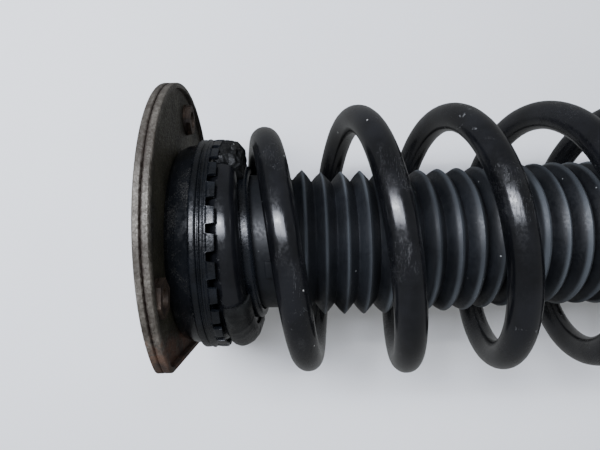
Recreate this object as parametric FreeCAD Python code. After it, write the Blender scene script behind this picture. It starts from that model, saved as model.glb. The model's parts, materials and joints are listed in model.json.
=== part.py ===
"""Rear shock absorber: a coil-over damper with a bolted top plate and a bushed lower eye.

Units are millimetres. The strut axis is Z, up towards the vehicle body. The origin is the centre
of the lower eye, whose bolt runs along Y. Heights in the upper half are given as a depth below
the top plate's body-side face, through below(), and heights in the damper and eye through Z.
The damper stands at full extension, with its piston rod on the rebound stop.
"""
import FreeCAD, Part
import math
import os

V = FreeCAD.Vector
UP = V(0, 0, 1)

# ---- travel ----
STROKE = 120.0
BUMP_CRUSH = 12.0
FOOT_ROOM = 22.1

# ---- fits and clearances ----
RUNNING = 0.05
SLIP = 0.3
CONTACT_GAP = 0.1

# ---- top flange: two plates, round with one flat side ----
FLANGE_R = 70.0
FLANGE_SHIFT_X = 4.4
FLANGE_SHIFT_Y = 0.5
FLAT_DEPTH = 18.9
FLAT_CORNER_R = 12.0
BODY_PLATE_T = 3.1
SPRING_PLATE_T = 1.1
LIP_HEIGHT = 3.2
LIP_WIDTH = 2.2
PLATE_EDGE_ROUND = 0.7
PLATE_BORE_R = 22.0

# ---- fixing nuts ----
NUT_FROM_EDGE = 12.5
NUT_SHIFT_X = 3.5
NUT_SHIFT_Y = -2.0
NUT_ANGLES = (6.0, -114.0, 126.0)
NUT_FLATS = 13.0
NUT_HEIGHT = 3.2
NUT_COLLAR_R = 7.4
NUT_COLLAR_T = 1.2
THREAD_R = 4.0
PLATE_HOLE_R = 4.5

# ---- top mount bush ----
HOUSING_R = 29.5
HOUSING_T = 2.0
HOUSING_FLANGE = 3.5
HOUSING_DEPTH = 27.5
HOUSING_MOUTH_R = 16.0
MOUNT_SLEEVE_R = 11.0
MOUNT_SLEEVE_TOP = 1.0
MOUNT_SLEEVE_BOTTOM = 28.5
BUSH_TOP = 7.5
REBOUND_WASHER_R = 19.0
REBOUND_WASHER_T = 3.0
BUMP_WASHER_R = 24.0
BUMP_WASHER_T = 2.5

# ---- rod, piston and stops ----
ROD_R = 9.0
ROD_TOP_R = 6.0
ROD_TIP_R = 5.0
ROD_NUT_FLATS = 19.0
ROD_NUT_HEIGHT = 10.0
ROD_THREAD_SPARE = 4.0
ROD_TIP_SPARE = 2.0
BUMP_CUP_R = 25.0
BUMP_CUP_T = 1.5
BUMP_CUP_DEPTH = 10.0
BUMP_STOP_R = 22.0
BUMP_STOP_LENGTH = 55.0
BUMP_STOP_WAIST = 3.0
REBOUND_STOP_T = 10.0
REBOUND_COLLAR_T = 4.0
COLLAR_TO_SHOULDER = 10.0
PISTON_T = 15.0
PISTON_BAND_T = 8.0
PISTON_BAND_DEPTH = 1.2
PISTON_LAND_GAP = 0.4
SHIM_T = 0.3
SHIM_COUNT = 4
PISTON_NUT_T = 8.0
PISTON_NUT_FLATS = 17.0

# ---- damper tube ----
TUBE_R = 25.0
TUBE_T = 1.8
TUBE_BOTTOM_Z = 40.0
CRIMP_T = 2.0
CRIMP_R = 17.0
CAP_T = 2.0
CAP_SKIRT = 12.0
CAP_HOLE_R = 12.0
SEAL_T = 7.0
GUIDE_T = 19.5
GUIDE_FLANGE_T = 6.0
GUIDE_BUSH_T = 1.5
GUIDE_BUSH_LENGTH = 14.0
CYLINDER_R = 16.0
CYLINDER_T = 1.5
BASE_VALVE_T = 14.0
BASE_VALVE_FLANGE_T = 5.0
BASE_CUP_T = 3.0
RIVET_R = 3.0
RIVET_HEAD_R = 6.0
RIVET_HEAD_T = 2.0

# ---- dust boot ----
BOOT_FIT = 0.6
BOOT_WALL = 1.6
BOOT_TOP = 10.0
BOOT_NECK_END = 55.5
BOOT_PLEAT_DEPTH = 4.8
BOOT_CAP_GAP = 0.4
BOOT_PITCH = 9.25
BOOT_COVER = 24.5
BOOT_CREST_FLAT = 1.4
BOOT_VALLEY_FLAT = 1.0
BOOT_CUFF = 10.0
TAB_DEPTH = 42.6
TAB_HEIGHT = 6.3
TAB_WIDTH = 8.0
TAB_PROUD = 1.3
TAB_ANGLE = -112.0

# ---- coil spring ----
WIRE_R = 6.5
COIL_TURNS = 6.75
COIL_R = 56.6
BOTTOM_END_R = 50.0
TIP_ANGLE = -45.0
END_COIL_GAP = 1.4
FULL_PITCH = 44.0
DEAD_TURNS = 0.4
PITCH_EASE_TURNS = 1.0
RADIUS_EASE_TURNS = 1.45
POINTS_PER_TURN = 12

# ---- upper spring seat ----
SEAT_T = 2.5
SEAT_ROOM = 7.5
SEAT_SHOULDER = 1.6
SEAT_SKIRT_START = 14.0
SEAT_SKIRT_END = 20.0

# ---- upper spring pad ----
PAD_FLOOR_DEPTH = 18.8
PAD_FLOOR_SKIN = 0.7
PAD_MERGE = 0.5
PAD_RIM_T = 1.8
PAD_RIM_START = 14.1
PAD_RIM_END = 24.6
PAD_GROOVE = 0.7
PAD_RIDGE = 0.3
TOOTH_COUNT = 28
TOOTH_DEPTH = 3.4
NOTCH_SHARE = 0.36
RAMP_TURNS = 0.6
HUB_WALL = 1.6
HUB_LIP_T = 2.4
HUB_LIP_HEIGHT = 5.7
HUB_LIP_TURNS = 0.44
STOP_BLOCK_ANGLE = 46.0
STOP_BLOCK_DEPTH = 34.0
SLEEVE_T = 1.7
SLEEVE_START_TURN = 0.22
SLEEVE_END_TURN = 0.44

# ---- lower spring pan and pad ----
PAN_T = 2.8
PAN_RIM = 8.0
PAN_ROOM = 2.7
PAN_NECK = 11.0
PAN_COLLAR = 13.0
LOWER_PAD_T = 5.0
LOWER_PAD_LIP = 7.0
LOWER_PAD_LIP_T = 2.4

# ---- lower eye ----
EYE_R = 22.0
EYE_T = 4.5
EYE_WIDTH = 34.0
BUSH_SHELL_T = 1.5
BUSH_SHELL_WIDTH = 31.0
BUSH_WIDTH = 32.0
EYE_SLEEVE_R = 10.0
EYE_SLEEVE_BORE_R = 6.1
EYE_SLEEVE_WIDTH = 42.0

# ---- radii that follow from the sizes above ----
FLAT_X = FLAT_DEPTH - FLANGE_R
NUT_CIRCLE_R = FLANGE_R - NUT_FROM_EDGE
HOUSING_FLANGE_R = HOUSING_R + HOUSING_FLANGE
SEAT_TOP_R = HOUSING_FLANGE_R + SEAT_ROOM + SEAT_T
BOOT_NECK_R = HOUSING_R + BOOT_FIT + BOOT_WALL
BOOT_VALLEY_R = TUBE_R + CAP_T + BOOT_CAP_GAP + BOOT_WALL
BOOT_CREST_R = BOOT_VALLEY_R + BOOT_PLEAT_DEPTH
BOOT_CUFF_R = TUBE_R + SLIP + BOOT_WALL
HUB_IN_R = BOOT_NECK_R + SLIP
HUB_OUT_R = HUB_IN_R + HUB_WALL
TOP_END_R = HUB_OUT_R + CONTACT_GAP + WIRE_R
SEAT_R = TOP_END_R + WIRE_R
RIM_IN_R = SEAT_R + CONTACT_GAP
RIM_OUT_R = RIM_IN_R + PAD_RIM_T
REBOUND_STOP_R = CYLINDER_R - 2.0
REBOUND_COLLAR_R = CYLINDER_R - 3.0
TUBE_BORE_R = TUBE_R - TUBE_T
LOWER_PAD_IN_R = BOTTOM_END_R - WIRE_R - CONTACT_GAP - LOWER_PAD_LIP_T
LOWER_PAD_OUT_R = BOTTOM_END_R + WIRE_R + CONTACT_GAP + LOWER_PAD_LIP_T
PAN_R = LOWER_PAD_OUT_R + PAN_ROOM + PAN_T

# ---- depths that follow: from the top plate down the rod, then down the damper to the eye ----
SHIMS_T = SHIM_T * SHIM_COUNT
PLATES_END = BODY_PLATE_T + SPRING_PLATE_T
BUMP_FOOT_DEPTH = MOUNT_SLEEVE_BOTTOM + BUMP_WASHER_T + BUMP_CUP_T + BUMP_STOP_LENGTH
TUBE_TOP_DEPTH = BUMP_FOOT_DEPTH + STROKE - BUMP_CRUSH + CAP_T
GUIDE_END_DEPTH = TUBE_TOP_DEPTH + CRIMP_T + SEAL_T + GUIDE_T
TIP_SHOULDER_DEPTH = GUIDE_END_DEPTH + SLIP + REBOUND_STOP_T + REBOUND_COLLAR_T + COLLAR_TO_SHOULDER
ROD_END_DEPTH = TIP_SHOULDER_DEPTH + PISTON_T + 2 * SHIMS_T + PISTON_NUT_T + ROD_TIP_SPARE
BASE_VALVE_DEPTH = ROD_END_DEPTH + STROKE + FOOT_ROOM + RIVET_HEAD_T + SHIMS_T
EYE_TO_PLATE = BASE_VALVE_DEPTH + BASE_VALVE_T + BASE_CUP_T + TUBE_BOTTOM_Z
BOOT_PLEATS = math.ceil((TUBE_TOP_DEPTH + BOOT_COVER - BOOT_NECK_END) / BOOT_PITCH)
END_PITCH = 2 * WIRE_R + END_COIL_GAP
TIP_DEPTH = PAD_FLOOR_DEPTH + WIRE_R + CONTACT_GAP
HUB_LIP_START = math.sqrt((WIRE_R + CONTACT_GAP) ** 2 - (WIRE_R + CONTACT_GAP - HUB_LIP_T) ** 2) + CONTACT_GAP
HUB_LIP_END = HUB_LIP_START + HUB_LIP_HEIGHT


# ---- heights that follow from the sizes above ----
def below(depth):
    """Height of a level that lies `depth` below the top plate's body-side face."""
    return EYE_TO_PLATE - depth


TUBE_TOP = below(TUBE_TOP_DEPTH)
SHOULDER = below(MOUNT_SLEEVE_BOTTOM + BUMP_WASHER_T)
NUT_SEAT = below(MOUNT_SLEEVE_TOP - REBOUND_WASHER_T)
SEAL_TOP = TUBE_TOP - CRIMP_T
GUIDE_TOP = SEAL_TOP - SEAL_T
GUIDE_BOTTOM = below(GUIDE_END_DEPTH)
CYLINDER_TOP = GUIDE_TOP - GUIDE_FLANGE_T
STOP_TOP = GUIDE_BOTTOM - SLIP
COLLAR_TOP = STOP_TOP - REBOUND_STOP_T
TIP_SHOULDER = below(TIP_SHOULDER_DEPTH)
PISTON_TOP = TIP_SHOULDER - SHIMS_T
PISTON_BOTTOM = PISTON_TOP - PISTON_T
PISTON_NUT_TOP = PISTON_BOTTOM - SHIMS_T
ROD_END = below(ROD_END_DEPTH)
BASE_VALVE_TOP = below(BASE_VALVE_DEPTH)
BASE_VALVE_BOTTOM = BASE_VALVE_TOP - BASE_VALVE_T


# ---- coil spring centreline ----
def ease(x):
    """Rise from 0 to 1 that starts fast and ends softly: 1 - (1-x)^3 (1+3x)."""
    x = min(max(x, 0.0), 1.0)
    return 1.0 - (1.0 - x) ** 3 * (1.0 + 3.0 * x)


def coil_pitch(turn):
    """Pitch at a turn counted from the upper tip: tight dead ends, open middle."""
    from_top = ease((turn - DEAD_TURNS) / PITCH_EASE_TURNS)
    from_bottom = ease((COIL_TURNS - turn - DEAD_TURNS) / PITCH_EASE_TURNS)
    return END_PITCH + (FULL_PITCH - END_PITCH) * min(from_top, from_bottom)


def coil_radius(turn):
    """Mean coil radius: small at both ends, full in the middle."""
    top = (COIL_R - TOP_END_R) * (1.0 - ease((turn - DEAD_TURNS) / RADIUS_EASE_TURNS))
    end = COIL_TURNS - turn
    bottom = (COIL_R - BOTTOM_END_R) * (1.0 - ease((end - DEAD_TURNS) / RADIUS_EASE_TURNS))
    return COIL_R - top - bottom


def coil_depth(turn, steps=400):
    """Depth of the wire's centre: the pitch summed from the upper tip by the midpoint rule."""
    step = turn / steps
    return TIP_DEPTH + sum(coil_pitch((i + 0.5) * step) * step for i in range(steps))


def coil_angle(turn):
    """Angle about Z, in degrees; the coil is right-handed, so it falls as the depth grows."""
    return TIP_ANGLE - 360.0 * turn


def coil_point(turn):
    angle = math.radians(coil_angle(turn))
    radius = coil_radius(turn)
    return V(radius * math.cos(angle), radius * math.sin(angle), below(coil_depth(turn)))


COIL_END_DEPTH = coil_depth(COIL_TURNS)
LOWER_PAD_TOP = below(COIL_END_DEPTH + WIRE_R + CONTACT_GAP)
PAN_TOP = LOWER_PAD_TOP - LOWER_PAD_T


# ---- shared shapes ----
def revolved(outline):
    """Solid of revolution about Z from (radius, height) points."""
    points = [V(r, 0, z) for r, z in outline]
    face = Part.Face(Part.makePolygon(points + [points[0]]))
    return face.revolve(V(0, 0, 0), UP, 360)


def ring(outer, inner, low, high):
    """Plain ring between two heights; a disc where inner is 0."""
    body = Part.makeCylinder(outer, high - low, V(0, 0, low))
    if inner > 0:
        body = body.cut(Part.makeCylinder(inner, high - low, V(0, 0, low)))
    return body


def hexagon(flats, low, high, bore):
    """Hexagon nut blank with a bore and chamfered corners."""
    corner = flats / math.sqrt(3)
    points = [V(corner * math.cos(math.radians(60 * i)), corner * math.sin(math.radians(60 * i)), low)
              for i in range(7)]
    prism = Part.Face(Part.makePolygon(points)).extrude(V(0, 0, high - low))
    slope = 0.6 * (corner - flats / 2)
    blank = revolved([(0, low), (corner, low), (corner, high - slope), (flats / 2, high), (0, high)])
    return prism.common(blank).cut(Part.makeCylinder(bore, high - low, V(0, 0, low)))


def turned_y(outer, inner, width):
    """Ring about the eye's bolt axis, centred on the strut axis."""
    start = V(0, -width / 2, 0)
    along = V(0, 1, 0)
    return Part.makeCylinder(outer, width, start, along).cut(Part.makeCylinder(inner, width, start, along))


def place(shape, radius, angle):
    """Copy of a shape moved out to a radius and round to an angle."""
    copy = shape.copy()
    copy.translate(V(radius, 0, 0))
    copy.rotate(V(0, 0, 0), UP, angle)
    return copy


def helical(outline, start_turn, end_turn):
    """Solid that carries a (radius, depth from the wire's centre) outline along the dead end coil."""
    turns = end_turn - start_turn
    height = END_PITCH * turns
    low = below(TIP_DEPTH + END_PITCH * end_turn)
    spine = Part.Wire(Part.makeHelix(END_PITCH, height, TOP_END_R).Edges)
    points = [V(r, 0, -depth) for r, depth in outline]
    profile = Part.Wire(Part.makePolygon(points + [points[0]]).Edges)
    solid = spine.makePipeShell([profile], True, True)
    solid.rotate(V(0, 0, 0), UP, coil_angle(end_turn))
    solid.translate(V(0, 0, low))
    return solid


# ---- top flange ----
def flange_outline(inset):
    """Closed wire at height 0: an arc round the shifted centre, cut by a flat with rounded corners."""
    radius = FLANGE_R - inset
    flat = FLAT_X + inset
    corner = FLAT_CORNER_R - inset
    centre = V(FLANGE_SHIFT_X, FLANGE_SHIFT_Y, 0)
    corner_x = flat + corner
    reach = math.sqrt((radius - corner) ** 2 - (corner_x - centre.x) ** 2)
    edges = []
    ends = []
    for side in (1, -1):
        middle = V(corner_x, centre.y + side * reach, 0)
        outward = (middle - centre).normalize()
        on_arc = middle + outward * corner
        on_flat = V(flat, middle.y, 0)
        bend = (outward + V(-1, 0, 0)).normalize()
        edges.append(Part.Arc(on_arc, middle + bend * corner, on_flat).toShape())
        ends.append((on_arc, on_flat))
    edges.append(Part.Arc(ends[0][0], centre + V(radius, 0, 0), ends[1][0]).toShape())
    edges.append(Part.makeLine(ends[0][1], ends[1][1]))
    return Part.Wire(Part.__sortEdges__(edges))


def flange_slab(inset, top_depth, bottom_depth):
    slab = Part.Face(flange_outline(inset)).extrude(V(0, 0, bottom_depth - top_depth))
    slab.translate(V(0, 0, below(bottom_depth)))
    return slab


def on_nut_circle(shape):
    """Copies of a shape at the three bolt places."""
    copies = [place(shape, NUT_CIRCLE_R, angle) for angle in NUT_ANGLES]
    for copy in copies:
        copy.translate(V(NUT_SHIFT_X, NUT_SHIFT_Y, 0))
    return copies


def flange_holes(shape, bore):
    """Cut the centre bore and the three bolt holes."""
    height = LIP_HEIGHT + BODY_PLATE_T + 2
    low = below(height - 1)
    shape = shape.cut(Part.makeCylinder(bore, height, V(0, 0, low)))
    drill = Part.makeCylinder(PLATE_HOLE_R, height, V(0, 0, low))
    for hole in on_nut_circle(drill):
        shape = shape.cut(hole)
    return shape


def round_rim(shape, depths):
    """Round the outer edges that lie at the given depths."""
    levels = [below(depth) for depth in depths]
    reach = FLANGE_R * 0.6
    edges = []
    for edge in shape.Edges:
        box = edge.BoundBox
        on_level = any(abs(box.ZMin - z) < 0.01 and abs(box.ZMax - z) < 0.01 for z in levels)
        middle = edge.valueAt((edge.FirstParameter + edge.LastParameter) / 2)
        if on_level and math.hypot(middle.x, middle.y) > reach and edge.BoundBox.DiagonalLength > 15:
            edges.append(edge)
    return shape.makeFillet(PLATE_EDGE_ROUND, edges)


def body_plate():
    slab = flange_slab(0, 0, BODY_PLATE_T)
    return flange_holes(round_rim(slab, (0, BODY_PLATE_T)), PLATE_BORE_R)


def spring_side_plate():
    """Dished plate: a thin floor with a thick raised lip round its edge."""
    end = BODY_PLATE_T + LIP_HEIGHT
    slab = flange_slab(0, BODY_PLATE_T, end)
    slab = round_rim(slab, (BODY_PLATE_T, end))
    dish = flange_slab(LIP_WIDTH, PLATES_END, end + 1)
    return flange_holes(slab.cut(dish), PLATE_BORE_R)


def weld_nuts():
    """Three flanged weld nuts standing on the dished plate's floor."""
    high = below(PLATES_END)
    low = high - NUT_HEIGHT
    nut = hexagon(NUT_FLATS, low, high, THREAD_R)
    collar = ring(NUT_COLLAR_R, THREAD_R, high - NUT_COLLAR_T, high)
    nut = nut.fuse(collar).removeSplitter()
    return Part.Compound(on_nut_circle(nut))


# ---- top mount ----
def mount_housing():
    """Steel cup: a flange welded under the plates, a wall and an inward floor."""
    top = below(PLATES_END)
    floor = below(HOUSING_DEPTH)
    inner = HOUSING_R - HOUSING_T
    return revolved([(inner, top), (HOUSING_FLANGE_R, top), (HOUSING_FLANGE_R, top - HOUSING_T),
                     (HOUSING_R, top - HOUSING_T), (HOUSING_R, floor), (HOUSING_MOUTH_R, floor),
                     (HOUSING_MOUTH_R, floor + HOUSING_T), (inner, floor + HOUSING_T)])


def mount_bush():
    """Rubber bonded between the sleeve and the housing, hollowed at both ends."""
    inner = HOUSING_R - HOUSING_T
    top = below(BUSH_TOP)
    floor = below(HOUSING_DEPTH - HOUSING_T)
    middle = (inner + MOUNT_SLEEVE_R) / 2
    return revolved([(MOUNT_SLEEVE_R, top), (MOUNT_SLEEVE_R + 2, top), (middle, top - 3),
                     (inner - 2, top), (inner, top), (inner, floor), (MOUNT_SLEEVE_R, floor)])


def mount_sleeve():
    return ring(MOUNT_SLEEVE_R, ROD_TOP_R + RUNNING, below(MOUNT_SLEEVE_BOTTOM), below(MOUNT_SLEEVE_TOP))


def rebound_washer():
    """Washer with a turned-down edge, under the rod nut."""
    seat = below(MOUNT_SLEEVE_TOP)
    top = seat + REBOUND_WASHER_T
    bore = ROD_TOP_R + RUNNING
    return revolved([(bore, seat), (MOUNT_SLEEVE_R + 2, seat), (REBOUND_WASHER_R, seat - 1.5),
                     (REBOUND_WASHER_R, seat + 0.8), (MOUNT_SLEEVE_R + 1, top), (bore, top)])


def rod_nut():
    collar = ring(ROD_NUT_FLATS * 0.62, ROD_TOP_R, NUT_SEAT, NUT_SEAT + 2)
    nut = hexagon(ROD_NUT_FLATS, NUT_SEAT, NUT_SEAT + ROD_NUT_HEIGHT, ROD_TOP_R)
    return nut.fuse(collar).removeSplitter()


def bump_washer():
    return ring(BUMP_WASHER_R, ROD_TOP_R + RUNNING, SHOULDER, SHOULDER + BUMP_WASHER_T)


def bump_stop_cup():
    """Pressed cup that holds the head of the bump stop under the washer."""
    bore = ROD_R + SLIP
    inner = BUMP_CUP_R - BUMP_CUP_T
    return revolved([(bore, SHOULDER), (BUMP_CUP_R, SHOULDER), (BUMP_CUP_R, SHOULDER - BUMP_CUP_DEPTH),
                     (inner, SHOULDER - BUMP_CUP_DEPTH), (inner, SHOULDER - BUMP_CUP_T),
                     (bore, SHOULDER - BUMP_CUP_T)])


def bump_stop():
    """Foam stop with two waists, thinner towards its foot."""
    top = SHOULDER - BUMP_CUP_T
    foot = top - BUMP_STOP_LENGTH
    bore = ROD_R + SLIP
    third = BUMP_STOP_LENGTH / 3
    wide = BUMP_STOP_R
    return revolved([(bore, top), (wide, top), (wide, top - third + 4), (wide - BUMP_STOP_WAIST, top - third),
                     (wide - 1, top - third - 4), (wide - 2, foot + third + 4),
                     (wide - 2 - BUMP_STOP_WAIST, foot + third), (wide - 3, foot + third - 4),
                     (wide - 5, foot + 4), (wide - 8, foot), (bore, foot)])


# ---- rod and piston ----
def piston_rod():
    """Chromed rod with a threaded spigot at each end."""
    tip = NUT_SEAT + ROD_NUT_HEIGHT + ROD_THREAD_SPARE
    return revolved([(0, tip), (ROD_TOP_R - 1, tip), (ROD_TOP_R, tip - 1), (ROD_TOP_R, SHOULDER),
                     (ROD_R, SHOULDER), (ROD_R, TIP_SHOULDER), (ROD_TIP_R, TIP_SHOULDER),
                     (ROD_TIP_R, ROD_END), (0, ROD_END)])


def rebound_stop():
    """Elastomer ring that meets the rod guide at full extension."""
    low = COLLAR_TOP
    return revolved([(ROD_R, low), (REBOUND_STOP_R, low), (REBOUND_STOP_R, STOP_TOP - 2),
                     (REBOUND_STOP_R - 2, STOP_TOP), (ROD_R, STOP_TOP)])


def rebound_collar():
    return ring(REBOUND_COLLAR_R, ROD_R, COLLAR_TOP - REBOUND_COLLAR_T, COLLAR_TOP)


def piston():
    """Sintered piston with a groove for its band and eight through passages."""
    land = CYLINDER_R - PISTON_LAND_GAP
    groove = CYLINDER_R - RUNNING - PISTON_BAND_DEPTH
    middle = (PISTON_TOP + PISTON_BOTTOM) / 2
    half = PISTON_BAND_T / 2
    body = revolved([(ROD_TIP_R, PISTON_TOP), (land, PISTON_TOP), (land, middle + half),
                     (groove, middle + half), (groove, middle - half), (land, middle - half),
                     (land, PISTON_BOTTOM), (ROD_TIP_R, PISTON_BOTTOM)])
    drill = Part.makeCylinder(1.6, PISTON_T + 2, V(0, 0, PISTON_BOTTOM - 1))
    for i in range(8):
        body = body.cut(place(drill, (ROD_TIP_R + groove) / 2, 45 * i))
    return body


def piston_band():
    middle = (PISTON_TOP + PISTON_BOTTOM) / 2
    outer = CYLINDER_R - RUNNING
    return ring(outer, outer - PISTON_BAND_DEPTH, middle - PISTON_BAND_T / 2, middle + PISTON_BAND_T / 2)


def shim_stack(face, direction, bore, first_r):
    """Shims on one face of a valve, each smaller than the one before."""
    shims = []
    for i in range(SHIM_COUNT):
        start = face + direction * i * SHIM_T
        end = start + direction * SHIM_T
        shims.append(ring(first_r - i, bore, min(start, end), max(start, end)))
    return shims


def piston_shims():
    first = CYLINDER_R - 2.5
    above = shim_stack(PISTON_TOP, 1, ROD_TIP_R, first)
    under = shim_stack(PISTON_BOTTOM, -1, ROD_TIP_R, first)
    return Part.Compound(above + under)


def piston_nut():
    return hexagon(PISTON_NUT_FLATS, PISTON_NUT_TOP - PISTON_NUT_T, PISTON_NUT_TOP, ROD_TIP_R)


# ---- upper spring seat, pad and spring ----
def upper_spring_seat():
    """Pressed drum from the plates out to a skirt that the pad's rim covers."""
    top = below(PLATES_END)
    skirt = below(SEAT_SKIRT_START)
    end = below(SEAT_SKIRT_END)
    shoulder_r = SEAT_TOP_R + SEAT_SHOULDER
    mid_r = (shoulder_r + SEAT_R) / 2 + 0.4
    mid = (top + skirt) / 2
    outside = [(SEAT_TOP_R, top), (shoulder_r, top - SEAT_SHOULDER), (mid_r, mid)]
    outside += [(SEAT_R, skirt), (SEAT_R, end)]
    inside = [(r - SEAT_T, z) for r, z in reversed(outside)]
    return revolved(outside + inside)


def pad_rim_profile():
    """Outer side of the pad's rim, from its top edge down: two ribbed bands and the toothed band."""
    face = RIM_OUT_R
    low = face - PAD_GROOVE
    ridge = face + PAD_RIDGE
    band = PAD_RIM_END - PAD_RIM_START
    steps = [(face - 0.4, 0.0), (face, 0.04), (face, 0.28), (low, 0.31), (low, 0.36), (ridge, 0.39),
             (ridge, 0.43), (face - 0.4, 0.46), (face - 0.4, 0.54), (face, 0.56), (face - 0.4, 0.60),
             (face - 0.4, 0.68), (face, 0.71), (face, 1.0)]
    return [(r, below(PAD_RIM_START + share * band)) for r, share in steps]


def pad_ring():
    """Round part of the pad: rim over the seat's skirt, floor under it and a hub inside the coil."""
    inner_skirt = SEAT_R - SEAT_T - SLIP
    floor = below(PAD_FLOOR_DEPTH)
    skirt_end = below(SEAT_SKIRT_END + CONTACT_GAP)
    top = below(PAD_RIM_START + 3.0)
    outline = [(HUB_IN_R, top), (inner_skirt - 1, top), (inner_skirt, top - 1), (inner_skirt, skirt_end),
               (RIM_IN_R, skirt_end), (RIM_IN_R, below(PAD_RIM_START))]
    outline += pad_rim_profile()
    outline += [(RIM_IN_R + 0.2, below(PAD_RIM_END)), (RIM_IN_R + 0.2, skirt_end - PAD_FLOOR_SKIN),
                (inner_skirt, skirt_end - PAD_FLOOR_SKIN), (TOP_END_R + 2, floor), (HUB_OUT_R, floor),
                (HUB_OUT_R, floor - 3), (HUB_IN_R, floor - 3)]
    return revolved(outline)


def rim_notches():
    """Row of square notches in the rim's lower edge."""
    width = 2 * math.pi * SEAT_R / TOOTH_COUNT * NOTCH_SHARE
    start = RIM_IN_R - 0.2
    box = Part.makeBox(PAD_RIM_T + 3, width, TOOTH_DEPTH + 1, V(start, -width / 2, below(PAD_RIM_END) - 1))
    step = 360.0 / TOOTH_COUNT
    return Part.Compound([place(box, 0, step * (i + 0.5)) for i in range(TOOTH_COUNT)])


def below_floor(shape, skin):
    """Trim a helical piece so that it starts inside the pad, a little under the floor."""
    return shape.cut(ring(COIL_R, 0, below(PAD_FLOOR_DEPTH + skin), below(0)))


def pad_ramp():
    """Helical step that fills the space between the pad's floor and the rising end coil."""
    inner = HUB_OUT_R - PAD_MERGE
    outer = SEAT_R - 1.0
    under = -WIRE_R - CONTACT_GAP
    top = under - END_PITCH * RAMP_TURNS - 2
    ramp = helical([(inner, top), (outer, top), (outer, under), (inner, under)], 0, RAMP_TURNS)
    skirt_room = ring(COIL_R, SEAT_R - SEAT_T - SLIP, below(SEAT_SKIRT_END + CONTACT_GAP), below(0))
    return below_floor(ramp, -PAD_MERGE).cut(skirt_room)


def pad_lip():
    """Inner wall that follows the end coil, with a lip that hooks under the wire."""
    inner = HUB_IN_R + PAD_MERGE / 2
    wall = HUB_OUT_R - PAD_MERGE / 4
    lip = wall + HUB_LIP_T
    top = -WIRE_R - END_PITCH * (HUB_LIP_TURNS + 0.1) - 2
    wall_and_lip = helical([(inner, top), (wall, top), (wall, HUB_LIP_START), (lip, HUB_LIP_START),
                            (lip, HUB_LIP_END - 1), (lip - 1, HUB_LIP_END), (inner, HUB_LIP_END)],
                           -0.1, HUB_LIP_TURNS)
    return below_floor(wall_and_lip, PAD_MERGE)


def upper_spring_pad():
    body = pad_ring().cut(rim_notches())
    return body.fuse(pad_ramp()).fuse(pad_lip()).removeSplitter()


def spring_end_stop():
    """Rubber block past the wire's tip, between the pad's rim and the first open coil."""
    inner = HUB_OUT_R + HUB_LIP_T + SLIP
    top = below(PAD_FLOOR_DEPTH + PAD_FLOOR_SKIN + 1.5)
    foot = below(STOP_BLOCK_DEPTH)
    outline = [(inner, top), (RIM_IN_R, top), (RIM_OUT_R, below(PAD_RIM_END + SLIP)),
               (RIM_IN_R + 1, foot + 3), (RIM_IN_R - 3, foot), (inner, foot)]
    points = [V(r, 0, z) for r, z in outline]
    face = Part.Face(Part.makePolygon(points + [points[0]]))
    block = face.revolve(V(0, 0, 0), UP, STOP_BLOCK_ANGLE)
    block.rotate(V(0, 0, 0), UP, TIP_ANGLE + 1.5)
    return block.cut(upper_spring_pad()).cut(coil_spring_envelope())


def spring_sleeve():
    """C-shaped rubber cover on the outer side of the end coil."""
    inner = WIRE_R + CONTACT_GAP
    outer = inner + SLEEVE_T
    steps = 10
    angles = [math.radians(-20 + 120 * i / steps) for i in range(steps + 1)]
    outline = [(TOP_END_R + outer * math.cos(a), outer * math.sin(a)) for a in angles]
    outline += [(TOP_END_R + inner * math.cos(a), inner * math.sin(a)) for a in reversed(angles)]
    sleeve = helical(outline, SLEEVE_START_TURN, SLEEVE_END_TURN)
    return sleeve.cut(upper_spring_pad())


def coil_wire(radius):
    """Round wire swept along the coil's centreline."""
    count = int(COIL_TURNS * POINTS_PER_TURN) + 1
    points = [coil_point(COIL_TURNS * i / (count - 1)) for i in range(count)]
    line = Part.BSplineCurve()
    line.interpolate(points)
    spine = Part.Wire(line.toShape())
    circle = Part.Wire(Part.makeCircle(radius, points[0], line.tangent(line.FirstParameter)[0]))
    return spine.makePipeShell([circle], True, True)


def coil_spring_envelope():
    """First turns of the coil with a contact gap round the wire, for what must clear it."""
    tip = coil_point(0)
    reach = ring(COIL_R + 3 * WIRE_R, 0, below(60), tip.z + 3 * WIRE_R)
    return coil_wire(WIRE_R + CONTACT_GAP / 2).common(reach)


def coil_spring():
    return coil_wire(WIRE_R)


# ---- dust boot ----
def boot_side(wall):
    """One side of the boot, top to bottom, moved in by the wall."""
    neck_end = below(BOOT_NECK_END)
    side = [(BOOT_NECK_R - wall, below(BOOT_TOP)), (BOOT_NECK_R - wall, neck_end + BOOT_PITCH * 0.25)]
    for i in range(BOOT_PLEATS):
        crest = neck_end - BOOT_PITCH * (i + 0.5)
        valley = crest - BOOT_PITCH / 2
        side += [(BOOT_CREST_R - wall, crest + BOOT_CREST_FLAT / 2)]
        side += [(BOOT_CREST_R - wall, crest - BOOT_CREST_FLAT / 2)]
        side += [(BOOT_VALLEY_R - wall, valley + BOOT_VALLEY_FLAT / 2),
                 (BOOT_VALLEY_R - wall, valley - BOOT_VALLEY_FLAT / 2)]
    last = side[-1][1]
    side += [(BOOT_CUFF_R - wall, last - 2), (BOOT_CUFF_R - wall, last - BOOT_CUFF)]
    return side


def dust_boot():
    """Plain neck, pleats and a plain cuff, with a small tab on the neck."""
    boot = revolved(boot_side(0) + boot_side(BOOT_WALL)[::-1])
    tab = Part.makeBox(TAB_PROUD + 1, TAB_WIDTH, TAB_HEIGHT,
                       V(BOOT_NECK_R - 1, -TAB_WIDTH / 2, below(TAB_DEPTH + TAB_HEIGHT)))
    return boot.fuse(place(tab, 0, TAB_ANGLE)).removeSplitter()


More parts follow.
